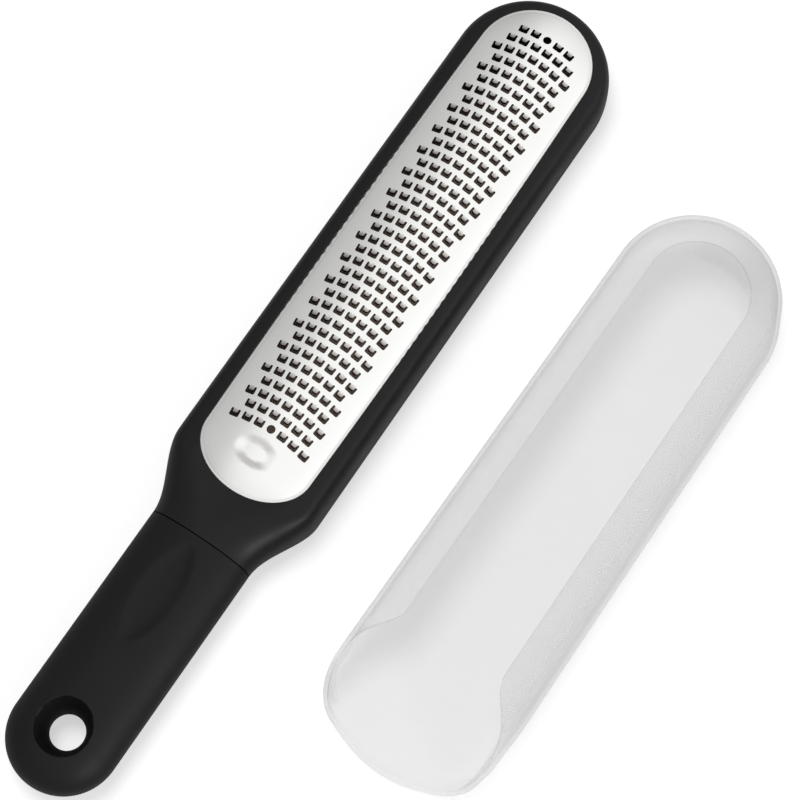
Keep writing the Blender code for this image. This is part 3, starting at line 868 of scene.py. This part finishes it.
@dataclass
class GraterPlate(Piece):
    """The etched and domed sheet. A node tree etches it flat, then it is pressed to the dome.

    In its methods, x is a place across the plate and y is one along it.
    """

    shape: PlateShape = field(default_factory=PlateShape)
    sheet: float = 0.0006
    seat: float = 0.0014
    column_pitch: float = 0.0035
    row_pitch: float = 0.00357
    arc_radius: float = 0.0520
    turn_share: float = 0.6
    stagger: float = 0.00038
    first_row: float = 0.16085
    rows: int = 37
    columns: int = 3
    edge_margin: float = 0.00485
    tooth_width: float = 0.0026
    tooth_length: float = 0.0022
    tongue_width: float = 0.0014
    tongue_length: float = 0.0012
    tongue_raise: float = 0.00035
    tongue_curl: float = 1.5
    # Painted shade on each tongue: its share at the root, what it adds at the cutting edge, and the power of
    # its rise.
    tongue_shade_steps: Size = (0.25, 0.55, 1.3)
    tongue_slack: float = 2e-5
    tongue_past: float = 1.05
    probe: float = 2e-5
    crowding: float = 0.45
    corner: float = 0.00042
    hole: float = 0.0023
    outline_steps: tuple[int, int, int] = (24, 60, 24)
    mesh_step: float = 0.00062
    border_rows: tuple[float, ...] = (
        0.0016, 0.00128, 0.00105, 0.0009, 0.00078, 0.0005, 0.00022, 0.00011, 0.0, -0.0002)
    border_step: float = 0.0005

    def build(self) -> None:
        """Etches the blank, presses it, and dresses the piece."""
        steel = SatinSteel()
        plate = self.press(self.remeshed(self.etched_blank(steel.material())))
        self.dress(plate, steel, Place.GRATER, "grater_plate")

    def outline_curve(self) -> Object:
        """Draws the blank's outline, which the node tree starts from.

        Returns:
            One closed flat curve.
        """
        places = stations(*self.outline_steps, 1)
        points = [self.shape.outline(*station, self.seat) for station in places]
        data = bpy.data.curves.new("blank_outline", "CURVE")
        data.dimensions = "3D"
        spline = data.splines.new("POLY")
        spline.points.add(len(points) - 1)
        for point, (x, y) in zip(spline.points, points):
            point.co = (x, y, 0.0, 1.0)
        spline.use_cyclic_u = True
        return linked("blank_outline", data)

    def etched_blank(self, material: Material) -> BMesh:
        """Runs the node tree on the outline.

        Args:
            material: The sheet's material.

        Returns:
            A flat sheet with every tooth's opening in it.
        """
        sizes = {
            "Column Pitch": self.column_pitch, "Row Pitch": self.row_pitch, "Arc Radius": self.arc_radius,
            "Turn Share": self.turn_share, "Stagger": self.stagger, "First Row": self.first_row,
            "Rows": self.rows, "Columns": self.columns, "Tip Centre": self.shape.tip_centre,
            "Room": self.shape.half_width - self.edge_margin,
            "Tooth Width": self.tooth_width, "Tooth Length": self.tooth_length,
            "Tongue Width": self.tongue_width, "Tongue Length": self.tongue_length,
            "Corner": self.corner, "Hole": self.hole,
        }
        thing = self.outline_curve()
        etching = EtchedBlankTree(sizes)
        modifier = thing.modifiers.new("etched_blank", "NODES")
        modifier.node_group = etching.build(material)
        for name, value in sizes.items():
            modifier[etching.names[name]] = value
        graph = bpy.context.evaluated_depsgraph_get()
        data = bpy.data.meshes.new_from_object(thing.evaluated_get(graph))
        bpy.data.objects.remove(thing, do_unlink=True)
        blank = bmesh.new()
        blank.from_mesh(data)
        bpy.data.meshes.remove(data)
        LOG.info("flat blank: %d faces", len(blank.faces))
        return blank

    def remeshed(self, blank: BMesh) -> BMesh:
        """Meshes the flat blank again with even triangles, so that it bends smoothly.

        Args:
            blank: The flat sheet from the node tree. It is freed.

        Returns:
            The same sheet, with points inside it a set distance apart.
        """
        bmesh.ops.remove_doubles(blank, verts=blank.verts, dist=1e-6)
        edges = [e for e in blank.edges if len(e.link_faces) == 1]
        order: dict[bmesh.types.BMVert, int] = {}
        for edge in edges:
            for vertex in edge.verts:
                order.setdefault(vertex, len(order))
        points = [vertex.co.xy for vertex in order]
        pairs = [(order[e.verts[0]], order[e.verts[1]]) for e in edges]
        border = self.border()
        crowd = points + [(points[a] + points[b]) / 2 for a, b in pairs] + border
        near = kdtree.KDTree(len(crowd))
        for i, spot in enumerate(crowd):
            near.insert(spot.to_3d(), i)
        near.balance()
        points += border
        sheet = bvhtree.BVHTree.FromBMesh(blank)
        blank.free()
        low_x, high_x = min(p.x for p in points), max(p.x for p in points)
        low_y, high_y = min(p.y for p in points), max(p.y for p in points)
        step = self.mesh_step
        for row in range(int((high_y - low_y) / step) + 1):
            for place in range(int((high_x - low_x) / step) + 1):
                spot = Vector((low_x + (place + 0.5 * (row % 2)) * step, low_y + row * step))
                if near.find(spot.to_3d())[2] > step * self.crowding:
                    points.append(spot)
        spots, _, faces, _, _, _ = geometry.delaunay_2d_cdt(points, pairs, [], 1, 1e-7)
        mesh = bmesh.new()
        corners = [mesh.verts.new(p.to_3d()) for p in spots]
        for face in faces:
            middle = sum((spots[i] for i in face), Vector((0.0, 0.0))) / len(face)
            if sheet.ray_cast(middle.to_3d() - DOWN, DOWN)[0] is not None:
                mesh.faces.new([corners[i] for i in face])
        bmesh.ops.delete(mesh, geom=[v for v in mesh.verts if not v.link_faces], context="VERTS")
        LOG.info("even blank: %d faces", len(mesh.faces))
        return mesh

    def border(self) -> list[Vector]:
        """Lays points in rows along the opening's edge, close enough to carry the upturned rim.

        Returns:
            The points, flat.
        """
        straight = round((self.shape.tip_centre - self.shape.heel_centre) / self.border_step)
        end = round(self.shape.half_width * math.pi / 2 / self.border_step)
        places = stations(end, straight, end, 1)
        # Here the left side is listed upwards, like the right one.
        right = [station for station in places if station[1] > 0]
        places = right + places[:len(right) - 1:-1]
        outline = self.shape.outline
        return [Vector(outline(*station, -inset)) for inset in self.border_rows for station in places]

    def local(self, x: float, y: float) -> Point:
        """Finds a place relative to the nearest tooth.

        Args:
            x: Across.
            y: Along.

        Returns:
            The place across and along that tooth, or a far one where no tooth is near.
        """
        best = (1.0, 1.0)
        for odd in (0, 1):
            shift = self.stagger * odd
            column = round((x - shift) / self.column_pitch - 0.5 * odd) + 0.5 * odd
            tooth_x = column * self.column_pitch + shift
            base = self.first_row - tooth_x ** 2 / (2 * self.arc_radius)
            row = 2 * round(((base - y) / self.row_pitch - odd) / 2) + odd
            tooth_y = base - row * self.row_pitch
            beyond = max(0.0, tooth_y - self.shape.tip_centre)
            outside = math.hypot(tooth_x, beyond) > self.shape.half_width - self.edge_margin + 1e-5
            if outside or not 0 <= row < self.rows or (column == 0 and row in (0, self.rows - 1)):
                continue
            turn = -tooth_x / self.arc_radius * self.turn_share
            dx, dy = x - tooth_x, y - tooth_y
            spot = (dx * math.cos(turn) + dy * math.sin(turn), dy * math.cos(turn) - dx * math.sin(turn))
            if math.hypot(*spot) < math.hypot(*best):
                best = spot
        return best

    def lift(self, x: float, y: float) -> float:
        """Gives how far the tongue is bent up.

        Args:
            x: Across.
            y: Along.

        Returns:
            The height, which is 0 off every tongue.
        """
        across, along = self.local(x, y)
        share = (self.tooth_length / 2 - along) / self.tongue_length
        if abs(across) > self.tongue_width / 2 + self.tongue_slack or not 0 <= share <= self.tongue_past:
            return 0.0
        return self.tongue_raise * share ** self.tongue_curl

    def tongue_shade(self, x: float, y: float) -> float:
        """Gives the painted shade on a tongue, growing from its root to its cutting edge.

        Args:
            x: Across.
            y: Along.

        Returns:
            A share from 0 to 1.
        """
        root, more, power = self.tongue_shade_steps
        share = (self.tooth_length / 2 - self.local(x, y)[1]) / self.tongue_length
        return root + more * min(1.0, max(0.0, share)) ** power

    def normal(self, x: float, y: float) -> Vector:
        """Gives the upper face's normal, from the heights on either side and the tongue's own curl.

        Args:
            x: Across.
            y: Along.

        Returns:
            The unit normal.
        """
        step = self.probe
        pressed = self.shape.pressed
        across = (pressed(x + step, y) - pressed(x - step, y)) / (2 * step)
        along = (pressed(x, y + step) - pressed(x, y - step)) / (2 * step)
        lift = self.lift(x, y)
        if lift > 0:
            curl = self.tongue_curl
            share = (lift / self.tongue_raise) ** (1 / curl)
            along -= curl * self.tongue_raise / self.tongue_length * share ** (curl - 1)
        return Vector((-across, -along, 1.0)).normalized()

    def press(self, flat: BMesh) -> Object:
        """Gives the flat blank its dome, dimple, raised tongues and thickness.

        Args:
            flat: The flat sheet, in the plate's own frame. It is freed.

        Returns:
            The finished plate in the row's frame, with the normals of the true surface.
        """
        bmesh.ops.recalc_face_normals(flat, faces=flat.faces)
        if sum(f.normal.z for f in flat.faces) < 0:
            bmesh.ops.reverse_faces(flat, faces=flat.faces)
        solid = bmesh.new()
        top, bottom, slopes = {}, {}, {}
        for vertex in flat.verts:
            x, y = vertex.co.xy
            slopes[vertex] = self.normal(x, y)
            place = Vector((x, y, self.shape.pressed(x, y) + self.lift(x, y)))
            top[vertex] = solid.verts.new(place)
            bottom[vertex] = solid.verts.new(place - slopes[vertex] * self.sheet)
        normals: list[Vector] = []
        for face in flat.faces:
            solid.faces.new([top[v] for v in face.verts])
            normals += [slopes[v] for v in face.verts]
        for face in flat.faces:
            solid.faces.new([bottom[v] for v in reversed(face.verts)])
            normals += [-slopes[v] for v in reversed(face.verts)]
        for edge in flat.edges:
            if len(edge.link_loops) == 1:
                loop = edge.link_loops[0]
                a, b = loop.vert, loop.link_loop_next.vert
                wall = solid.faces.new((top[b], top[a], bottom[a], bottom[b]))
                wall.normal_update()
                normals += [wall.normal.copy()] * 4
        # The etched layer is 1 on the cut walls, and holds painted shade on the tongues, the rim and the
        # dimple.
        etched = solid.loops.layers.float.new("etched")
        for i, face in enumerate(solid.faces):
            middle = face.calc_center_median()
            tongue = i < len(flat.faces) and self.lift(middle.x, middle.y) > 0
            for loop in face.loops:
                shade_share = (self.tongue_shade if tongue else self.shape.painted_shade)(*loop.vert.co.xy)
                loop[etched] = 1.0 if i >= 2 * len(flat.faces) else shade_share
        flat.free()
        thing = self.placed("etched_plate", solid, 180)
        thing.data.normals_split_custom_set([tuple(n) for n in normals])
        return thing


class EtchedBlankTree:
    """The node tree that cuts the rows of teeth out of a flat sheet."""

    def __init__(self, sizes: dict[str, Any]) -> None:
        """Makes the empty tree.

        Args:
            sizes: The named inputs and their values. A whole number makes an input that counts.
        """
        self.tree = bpy.data.node_groups.new("etched_blank", "GeometryNodeTree")
        face = self.tree.interface
        for way in ("INPUT", "OUTPUT"):
            face.new_socket("Geometry", in_out=way, socket_type="NodeSocketGeometry")
        self.names: dict[str, str] = {}
        for name, value in sizes.items():
            kind = "NodeSocketInt" if isinstance(value, int) else "NodeSocketFloat"
            self.names[name] = face.new_socket(name, in_out="INPUT", socket_type=kind).identifier
        outputs = self.tree.nodes.new("NodeGroupInput").outputs
        self.sheet = outputs["Geometry"]
        self.given = {name: Term(self.tree, outputs[name]) for name in sizes}

    def circle(self) -> Node:
        """Returns the round hole's outline."""
        sizes = {"Resolution": 24, "Radius": self.given["Hole"] * 0.5}
        return add_node(self.tree, "GeometryNodeCurvePrimitiveCircle", sizes, mode="RADIUS")

    def tooth(self) -> Node:
        """Draws one tooth: a U with rounded corners, its tongue pointing to the grip.

        Returns:
            The node with the outline.
        """
        half = self.given["Tooth Width"] * 0.5
        high = self.given["Tooth Length"] * 0.5
        tongue = self.given["Tongue Width"] * 0.5
        tip = high - self.given["Tongue Length"]
        third = high * 0.65 + tip * 0.35
        right = [(half, high * -1.0), (half, high), (tongue, high), (tongue, third), (tongue, tip)]
        corners = right + [(x * -1.0, y) for x, y in reversed(right)]
        pick = add_node(self.tree, "GeometryNodeIndexSwitch", data_type="VECTOR")
        while len(pick.index_switch_items) < len(corners):
            pick.index_switch_items.new()
        feed(pick, {"Index": add_node(self.tree, "GeometryNodeInputIndex")})
        for i, (x, y) in enumerate(corners):
            feed(pick, {i + 1: add_node(self.tree, "ShaderNodeCombineXYZ", {"X": x, "Y": y})})
        points = add_node(self.tree, "GeometryNodePoints", {"Count": len(corners), "Position": pick})
        curve = add_node(self.tree, "GeometryNodePointsToCurves", {0: points})
        closed = add_node(self.tree, "GeometryNodeSetSplineCyclic", {0: curve, "Cyclic": True})
        rounding = {0: closed, "Count": 3, "Radius": self.given["Corner"], "Limit Radius": True}
        return add_node(self.tree, "GeometryNodeFilletCurve", rounding, mode="POLY")

    def grid(self) -> tuple[Node, Term, Term, Term]:
        """Lays out one point for each tooth.

        Returns:
            The points, their turn, the choice of those kept, and the choice of the two round holes.
        """
        given = self.given
        wide = given["Columns"] * 2.0 + 1.0
        index = Term(self.tree, add_node(self.tree, "GeometryNodeInputIndex").outputs[0])
        row = ((index + 0.5) / wide).reckoned("FLOOR")
        odd = row.reckoned("MODULO", 2.0)
        step = index - row * wide + odd * 0.5 - given["Columns"]
        x = step * given["Column Pitch"] + odd * given["Stagger"]
        y = given["First Row"] - x * x / (given["Arc Radius"] * 2.0) - row * given["Row Pitch"]
        spot = add_node(self.tree, "ShaderNodeCombineXYZ", {"X": x, "Y": y})
        points = add_node(self.tree, "GeometryNodePoints", {"Count": wide * given["Rows"], "Position": spot})
        turn = x / given["Arc Radius"] * given["Turn Share"] * -1.0
        beyond = (y - given["Tip Centre"]).reckoned("MAXIMUM", 0.0)
        reach = (x * x + beyond * beyond).reckoned("SQRT")
        kept = reach.reckoned("LESS_THAN", given["Room"] + 1e-5)
        ends = row.reckoned("COMPARE", 0.0, 0.1) + row.reckoned("COMPARE", given["Rows"] - 1.0, 0.1)
        return points, turn, kept, step.reckoned("COMPARE", 0.0, 0.1) * ends

    def build(self, material: Material) -> NodeTree:
        """Joins outline, teeth and round holes into one sheet.

        Args:
            material: The sheet's material.

        Returns:
            The finished tree.
        """
        points, turn, kept, middle = self.grid()
        spin = add_node(self.tree, "ShaderNodeCombineXYZ", {"Z": turn})
        teeth = kept * (middle * -1.0 + 1.0)
        rows = add_node(self.tree, "GeometryNodeInstanceOnPoints", {
            "Points": points, "Selection": teeth, "Instance": self.tooth(), "Rotation": spin})
        holes = add_node(self.tree, "GeometryNodeInstanceOnPoints", {
            "Points": points, "Selection": middle, "Instance": self.circle()})
        join = add_node(self.tree, "GeometryNodeJoinGeometry")
        for source in (self.sheet, rows, holes):
            feed(join, {0: source})
        real = add_node(self.tree, "GeometryNodeRealizeInstances", {0: join})
        sheet = add_node(self.tree, "GeometryNodeFillCurve", {0: real}, mode="TRIANGLES")
        loose = add_node(self.tree, "GeometryNodeRealizeInstances", {0: sheet})
        finish = add_node(self.tree, "GeometryNodeSetMaterial", {0: loose, "Material": material})
        feed(self.tree.nodes.new("NodeGroupOutput"), {0: finish})
        return self.tree


@dataclass
class Cover(Piece):
    """The loose tray with inturned lips, which lies open side up.

    The greys are added to the plastic's own tone: greyer walls, painted shade on the right lip and in
    the tip's corner, and painted light that makes the right wall paler. Each pair of shares or angles
    says where a grey begins and where it is full. The angles are in degrees round the tip, from the right.
    """

    wall: float = 0.0011
    floor: float = 0.0013
    lip: float = 0.0012
    height: float = 0.0253
    length: float = 0.17009
    tip_half: float = 0.023993
    taper: float = 0.0008
    lean: float = 0.0015
    lip_reach: float = 0.0103
    shoulder: float = 0.0058
    floor_round: float = 0.0050
    corner: float = 0.0024
    mouth_round: float = 0.0186
    fade_start: float = 0.0370
    fade_length: float = 0.0180
    fade_power: float = 1.5
    lip_share: float = 1.2
    edge_share: float = 0.75
    wall_zone: float = 0.0085
    lip_zone: float = 0.0040
    wall_grey: float = -0.42
    # Painted light that makes the right-facing wall paler.
    right_wall_light: float = 0.15
    # Painted shade on the right lip and in the tip's corner.
    shade_grey: float = -0.2
    corner_start: Point = (30.0, 75.0)
    corner_end: Point = (128.0, 100.0)
    corner_fade: float = 0.0001
    wall_fade: float = 0.001
    facing_right: Point = (0.88, 1.0)
    upright_from: Point = (0.2, 0.9)
    # Where the painted shade on the right lip begins and where it is full.
    right_lip_shade: Point = (-0.2, 0.4)
    edge_soft: float = 0.3
    end_steps: int = 48
    side_steps: int = 50
    fade_steps: int = 60
    quarter_steps: int = 10

    def section(self, half: float) -> list[list[Point]]:
        """Draws the full section.

        Args:
            half: Half the cover's width here.

        Returns:
            The outer and the inner line: equally long lists of inset and height, from the middle of
            the floor to the lip's edge.
        """
        quarter = [i / self.quarter_steps * math.pi / 2 for i in range(self.quarter_steps + 1)]
        turns = [(math.sin(angle), math.cos(angle)) for angle in quarter]
        soft = self.lip * self.edge_soft
        lines = []
        for wall, floor, lip, way in ((0.0, 0.0, 0.0, -1), (self.wall, self.floor, self.lip, 1)):
            bend = self.floor_round
            line = [(half, floor), (bend + self.corner, floor)]
            line += [(bend - (bend - wall) * sine, bend - (bend - floor) * cosine) for sine, cosine in turns]
            bend = self.shoulder
            centre = self.lean + bend
            line += [(centre - (bend - wall) * cosine, self.height - bend + (bend - lip) * sine)
                     for sine, cosine in turns]
            for inset, drop in ((1.0, 0.0), (ROUND_MIDDLE, ROUND_MIDDLE), (0.0, 1.0)):
                line.append((self.lip_reach - soft * inset, self.height - lip + way * soft * drop))
            lines.append(line)
        return lines

    def trimmed(self, line: list[Point], share: float) -> list[Point]:
        """Cuts a section line off at a share of its length, keeping as many points.

        Args:
            line: The full line.
            share: The share of its length that stays.

        Returns:
            The shorter line.
        """
        steps = [math.dist(a, b) for a, b in zip(line, line[1:])]
        total = sum(steps)
        sums = [0.0]
        for step in steps:
            sums.append(sums[-1] + step)
        start = sums[1] / total
        result = line[:1]
        for place in sums[1:]:
            goal = mix(start, share, (place / total - start) / (1 - start)) * total
            i = min(len(steps) - 1, max(k for k in range(len(sums)) if sums[k] <= goal + 1e-12))
            part = (goal - sums[i]) / steps[i] if steps[i] else 0.0
            result.append((mix(line[i][0], line[i + 1][0], part), mix(line[i][1], line[i + 1][1], part)))
        return result

    def kept(self, y: float) -> float:
        """Gives how much of the section is left, from whole lips down to the low mouth edge.

        Args:
            y: A place along the cover.

        Returns:
            The share of the section's length.
        """
        outer, _ = self.section(self.tip_half + self.taper)
        steps = [math.dist(a, b) for a, b in zip(outer, outer[1:])]
        total = sum(steps)
        wall_top = (total - sum(steps[-3:]) - self.shoulder * self.lip_share) / total
        mouth_edge = (steps[0] + steps[1] + self.floor_round * self.edge_share) / total
        fade_end = self.fade_start - self.fade_length
        from_mouth = y + self.length / 2
        if from_mouth > fade_end:
            return mix(wall_top, 1.0, rise(from_mouth, fade_end, self.fade_start))
        return mix(mouth_edge, wall_top, rise(from_mouth, 0.0, fade_end) ** self.fade_power)

    def ring(self, outline: Vector, axis: Vector, half: float) -> Ring:
        """Builds one section of the cover.

        Args:
            outline: The point on the plan outline.
            axis: The point on the middle line that the section ends on.
            half: The half width that the section is made for.

        Returns:
            The points from the middle outside over the lip's edge and back to the middle inside.
        """
        inward = (axis - outline).normalized()
        reach = (axis - outline).length
        outer, inner = (self.trimmed(line, self.kept(outline.y)) for line in self.section(half))
        ring = []
        for inset, height in outer + inner[::-1]:
            scaled = inset * reach / half if inset > self.lip_reach else inset
            place = outline + inward * min(scaled, reach)
            ring.append(Vector((place.x, place.y, height)))
        return ring

    def milk_and_painted_light(self, place: Vector, upright: float) -> float:
        """Gives how bright the plastic looks.

        It is greyer on the walls that are looked along. The right lip and the corner of the tip get painted
        shade, and the right wall gets painted light that makes it paler.

        Args:
            place: The place on the tray, before it is placed.
            upright: How upright the surface is here, from 0 to 1.

        Returns:
            A share of the plastic's own tone.
        """
        out = Vector((place.x, max(0.0, place.y - self.tip_centre)))
        reach = out.length
        right = rise(out.x / reach, *self.facing_right) if reach else 0.0
        zone = self.tip_half - self.wall_zone
        wall = rise(reach, zone, zone + self.wall_fade) * rise(upright, *self.upright_from)
        # Upright walls are greyer, and the right-facing wall gets painted light.
        tone = 1.0 + wall * mix(self.wall_grey, self.right_wall_light, right)
        # Painted shade on the lips, towards the right.
        if place.z > self.height - self.lip_zone:
            share = rise(place.x / self.tip_half, *self.right_lip_shade)
            return tone + self.shade_grey * (1 - wall) * share
        # Painted shade in a crescent at the tip, where the floor bends up.
        angle = math.degrees(math.atan2(out.y, out.x))
        zone = self.tip_half - self.floor_round
        share = rise(reach, zone - self.corner_fade, zone)
        share *= rise(angle, *self.corner_start) * rise(angle, *self.corner_end)
        return tone + self.shade_grey * share * (1 - wall)

    @property
    def tip_centre(self) -> float:
        """The centre of the round tip, along the cover."""
        return self.length / 2 - self.tip_half

    def build(self) -> None:
        """Builds the tray and dresses it."""
        tip, mouth = self.tip_centre, self.mouth_round - self.length / 2
        mouth_half = self.tip_half + self.taper
        fade_top = self.fade_start - self.length / 2
        heights = [mix(mouth, fade_top, i / self.fade_steps) for i in range(self.fade_steps)]
        heights += [mix(fade_top, tip, i / self.side_steps) for i in range(self.side_steps)]
        quarter = [math.pi / 2 * i / self.end_steps for i in range(self.end_steps + 1)]
        right = []
        for angle in quarter[:0:-1]:
            spot = Vector((mouth_half * math.cos(angle), mouth - self.mouth_round * math.sin(angle), 0))
            right.append((spot, Vector((0, mouth, 0)), mouth_half))
        for y in heights:
            half = mix(mouth_half, self.tip_half, (y - mouth) / (tip - mouth))
            right.append((Vector((half, y, 0)), Vector((0, y, 0)), half))
        for angle in quarter[:-1]:
            spot = Vector((self.tip_half * math.cos(angle), tip + self.tip_half * math.sin(angle), 0))
            right.append((spot, Vector((0, tip, 0)), self.tip_half))
        end = (Vector((0, tip + self.tip_half, 0)), Vector((0, tip, 0)), self.tip_half)
        left = [(Vector((-spot.x, spot.y, 0)), axis, half) for spot, axis, half in reversed(right[1:])]
        mesh = skin([self.ring(*station) for station in right + [end] + left], False)
        mesh.normal_update()
        # The attribute holds the greyer walls, and painted shade and light.
        layer = mesh.verts.layers.float.new("milk_and_painted_light")
        for vertex in mesh.verts:
            vertex[layer] = self.milk_and_painted_light(vertex.co, 1.0 - abs(vertex.normal.z))
        self.dress(self.placed("clear_cover", mesh, 50), FrostedPolypropylene(), Place.COVER, "cover")


@dataclass(frozen=True)
class SoftBox:
    """A square lamp that faces the middle of the scene. Its power is in watts."""

    name: str
    place: Size
    side: float
    power: float
    mirrored: bool

    def hang(self) -> None:
        """Adds the lamp. Only a mirrored one shows in gloss."""
        data = bpy.data.lights.new(self.name, "AREA")
        data.size = self.side
        data.energy = self.power
        thing = linked(self.name, data)
        thing.location = self.place
        thing.rotation_euler = (-Vector(self.place)).to_track_quat("-Z", "Y").to_euler()
        thing.visible_glossy = self.mirrored


@dataclass(frozen=True)
class Ramp:
    """A rise of brightness along one axis, from low at the start to high at the end."""

    axis: str
    start: float
    end: float
    low: float
    high: float


@dataclass
class Studio:
    """The pale floor, the soft light and the camera at the photograph's viewing angle."""

    eye: Size = (0.084073, -0.1393, 0.63015)
    tilt: float = 16.11
    swing: float = 33.79
    lens: float = 112.5
    sensor: float = 36.0
    clip: Point = (0.02, 20.0)
    floor_half: float = 3.0
    floor_drop: float = 0.00005
    paper: tuple[str, str] = ("#bebebe", "#c1c1c1")
    paper_roughness: float = 0.9
    paper_shine: float = 0.1
    cloud_mm: float = 15.0
    # Painted shade: the paper's colour under the plate.
    shade_under_plate: str = "#8d7c72"
    under_start: Point = (-0.036327, -0.0238)
    under_length: float = 0.1267
    under_reach: float = 0.0175
    # A faint painted glow under the plate, fading out towards the tip.
    glow_under_plate: Ramp = Ramp("Y", 0.05, 0.1, 0.045, 0.0)
    paper_glow: float = 0.57
    daylight: float = 0.43
    ceiling: tuple[Ramp, ...] = (
        Ramp("X", -0.6, -0.15, 0.74, 1.24),
        Ramp("Z", -0.25, 0.85, 0.45, 1.0),
        Ramp("Y", -0.75, -0.3, 0.93, 1.0))
    right_wall: tuple[Ramp, ...] = (Ramp("X", 0.5, 0.95, 0.0, 1.08), Ramp("Z", 0.0, 1.0, 1.0, 0.7))
    lamps: tuple[SoftBox, ...] = (
        SoftBox("overhead_softbox", (-0.2, 0.06, 1.1), 0.4, 6.4, False),
        SoftBox("front_softbox", (1.0, -0.47, 0.45), 0.35, 3.0, True))

    def camera(self) -> None:
        """Places the camera."""
        data = bpy.data.cameras.new("photo_camera")
        data.lens = self.lens
        data.sensor_width = self.sensor
        data.clip_start, data.clip_end = self.clip
        thing = linked("photo_camera", data)
        thing.location = self.eye
        thing.rotation_euler = Euler((math.radians(self.tilt), 0.0, math.radians(self.swing)))
        bpy.context.scene.camera = thing

    def ramped(self, tree: NodeTree, way: NodeSocket, ramp: Ramp, kind: str) -> Term:
        """Reads a ramp in a node tree.

        Args:
            tree: The node tree.
            way: The vector that is read along the ramp's axis.
            ramp: The ramp.
            kind: LINEAR or SMOOTHSTEP.

        Returns:
            The brightness there.
        """
        value = add_node(tree, "ShaderNodeSeparateXYZ", {0: way}).outputs[ramp.axis]
        sockets = {"Value": value, "From Min": ramp.start, "From Max": ramp.end,
                   "To Min": ramp.low, "To Max": ramp.high}
        return Term(tree, add_node(tree, "ShaderNodeMapRange", sockets, interpolation_type=kind).outputs[0])

    def floor(self) -> None:
        """Lays a paper floor that shows white to the camera and keeps the shadows.

        Under the plate its colour is painted brown and dim, with a faint painted glow: painted shade and
        light that only the slots show.
        """
        mesh = bmesh.new()
        bmesh.ops.create_grid(mesh, x_segments=8, y_segments=8, size=self.floor_half)
        bmesh.ops.translate(mesh, vec=(0, 0, -self.floor_drop), verts=mesh.verts)
        sheet = finished_mesh("paper_floor", mesh, 30)
        material = bpy.data.materials.new("matt_white_paper")
        material.use_nodes = True
        tree = material.node_tree
        place = add_node(tree, "ShaderNodeTexCoord").outputs["Object"]
        # The noise has no place of its own, so it runs from 0 to 1 over the whole sheet.
        scale = 2000 * self.floor_half / self.cloud_mm
        clouds = add_node(tree, "ShaderNodeTexNoise", {"Scale": scale, "Detail": 3.0})
        low, high = (linear(colour) for colour in self.paper)
        tone = add_node(tree, "ShaderNodeMix", {0: clouds, 6: low, 7: high}, data_type="RGBA").outputs[2]
        open_paper = self.open_paper(tree, place)
        path = add_node(tree, "ShaderNodeLightPath").outputs
        seen = Term(tree, path["Is Camera Ray"]).reckoned("MAXIMUM", path["Is Transmission Ray"])
        # Painted glow under the plate.
        dim = self.ramped(tree, place, self.glow_under_plate, "LINEAR")
        glow = add_node(tree, "ShaderNodeMix", {0: open_paper, 2: dim, 3: self.paper_glow})
        shader = feed(tree.nodes["Principled BSDF"], {
            "Roughness": self.paper_roughness, "Specular IOR Level": self.paper_shine,
            "Emission Strength": seen * glow})
        # Under the plate both colours are painted brown, as painted shade.
        for name, paper in (("Emission Color", WHITE), ("Base Color", tone)):
            ends = {0: open_paper, 6: linear(self.shade_under_plate), 7: paper}
            feed(shader, {name: add_node(tree, "ShaderNodeMix", ends, data_type="RGBA").outputs[2]})
        sheet.data.materials.append(material)

    def open_paper(self, tree: NodeTree, place: NodeSocket) -> Term:
        """Marks the paper that lies open.

        Args:
            tree: The paper's node tree.
            place: The place on the paper.

        Returns:
            A term that is 0 under the plate and 1 elsewhere.
        """
        parts = add_node(tree, "ShaderNodeSeparateXYZ", {0: place}).outputs
        x = Term(tree, parts["X"]) - self.under_start[0]
        y = Term(tree, parts["Y"]) - self.under_start[1]
        rest = y - y.reckoned("MAXIMUM", 0.0).reckoned("MINIMUM", self.under_length)
        return (x * x + rest * rest).reckoned("SQRT").reckoned("GREATER_THAN", self.under_reach)

    def world(self) -> None:
        """Makes the room: white to the camera, and plain to diffuse light.

        Gloss sees walls, darkest on the left and low down, with a bright one on the right.
        """
        room = bpy.data.worlds.new("white_room")
        room.use_nodes = True
        tree = room.node_tree
        path = add_node(tree, "ShaderNodeLightPath").outputs
        way = add_node(tree, "ShaderNodeTexCoord").outputs["Generated"]
        ceiling, right = (reduce(mul, [self.ramped(tree, way, ramp, "SMOOTHSTEP") for ramp in ramps])
                          for ramps in (self.ceiling, self.right_wall))
        light = {0: path["Is Glossy Ray"], 2: self.daylight, 3: ceiling + right}
        soft = add_node(tree, "ShaderNodeMix", light)
        strength = add_node(tree, "ShaderNodeMix", {0: path["Is Camera Ray"], 2: soft, 3: 1.0})
        feed(tree.nodes["Background"], {"Color": WHITE, "Strength": strength})
        bpy.context.scene.world = room

    def build(self) -> None:
        """Sets up floor, room, lamps, camera and view."""
        self.floor()
        self.world()
        for lamp in self.lamps:
            lamp.hang()
        self.camera()
        bpy.context.scene.view_settings.view_transform = "Standard"


def main() -> None:
    """Builds the studio and each sub-assembly in order."""
    logging.basicConfig(level=logging.INFO, format="%(name)s: %(message)s")
    Studio().build()
    HeadFrame().build()
    GraterPlate().build()
    HandleGrip().build()
    Cover(origin=Vector((0.033173, 0.010953, 0.0)), turn=-0.0125).build()


if __name__ == "__main__":
    main()
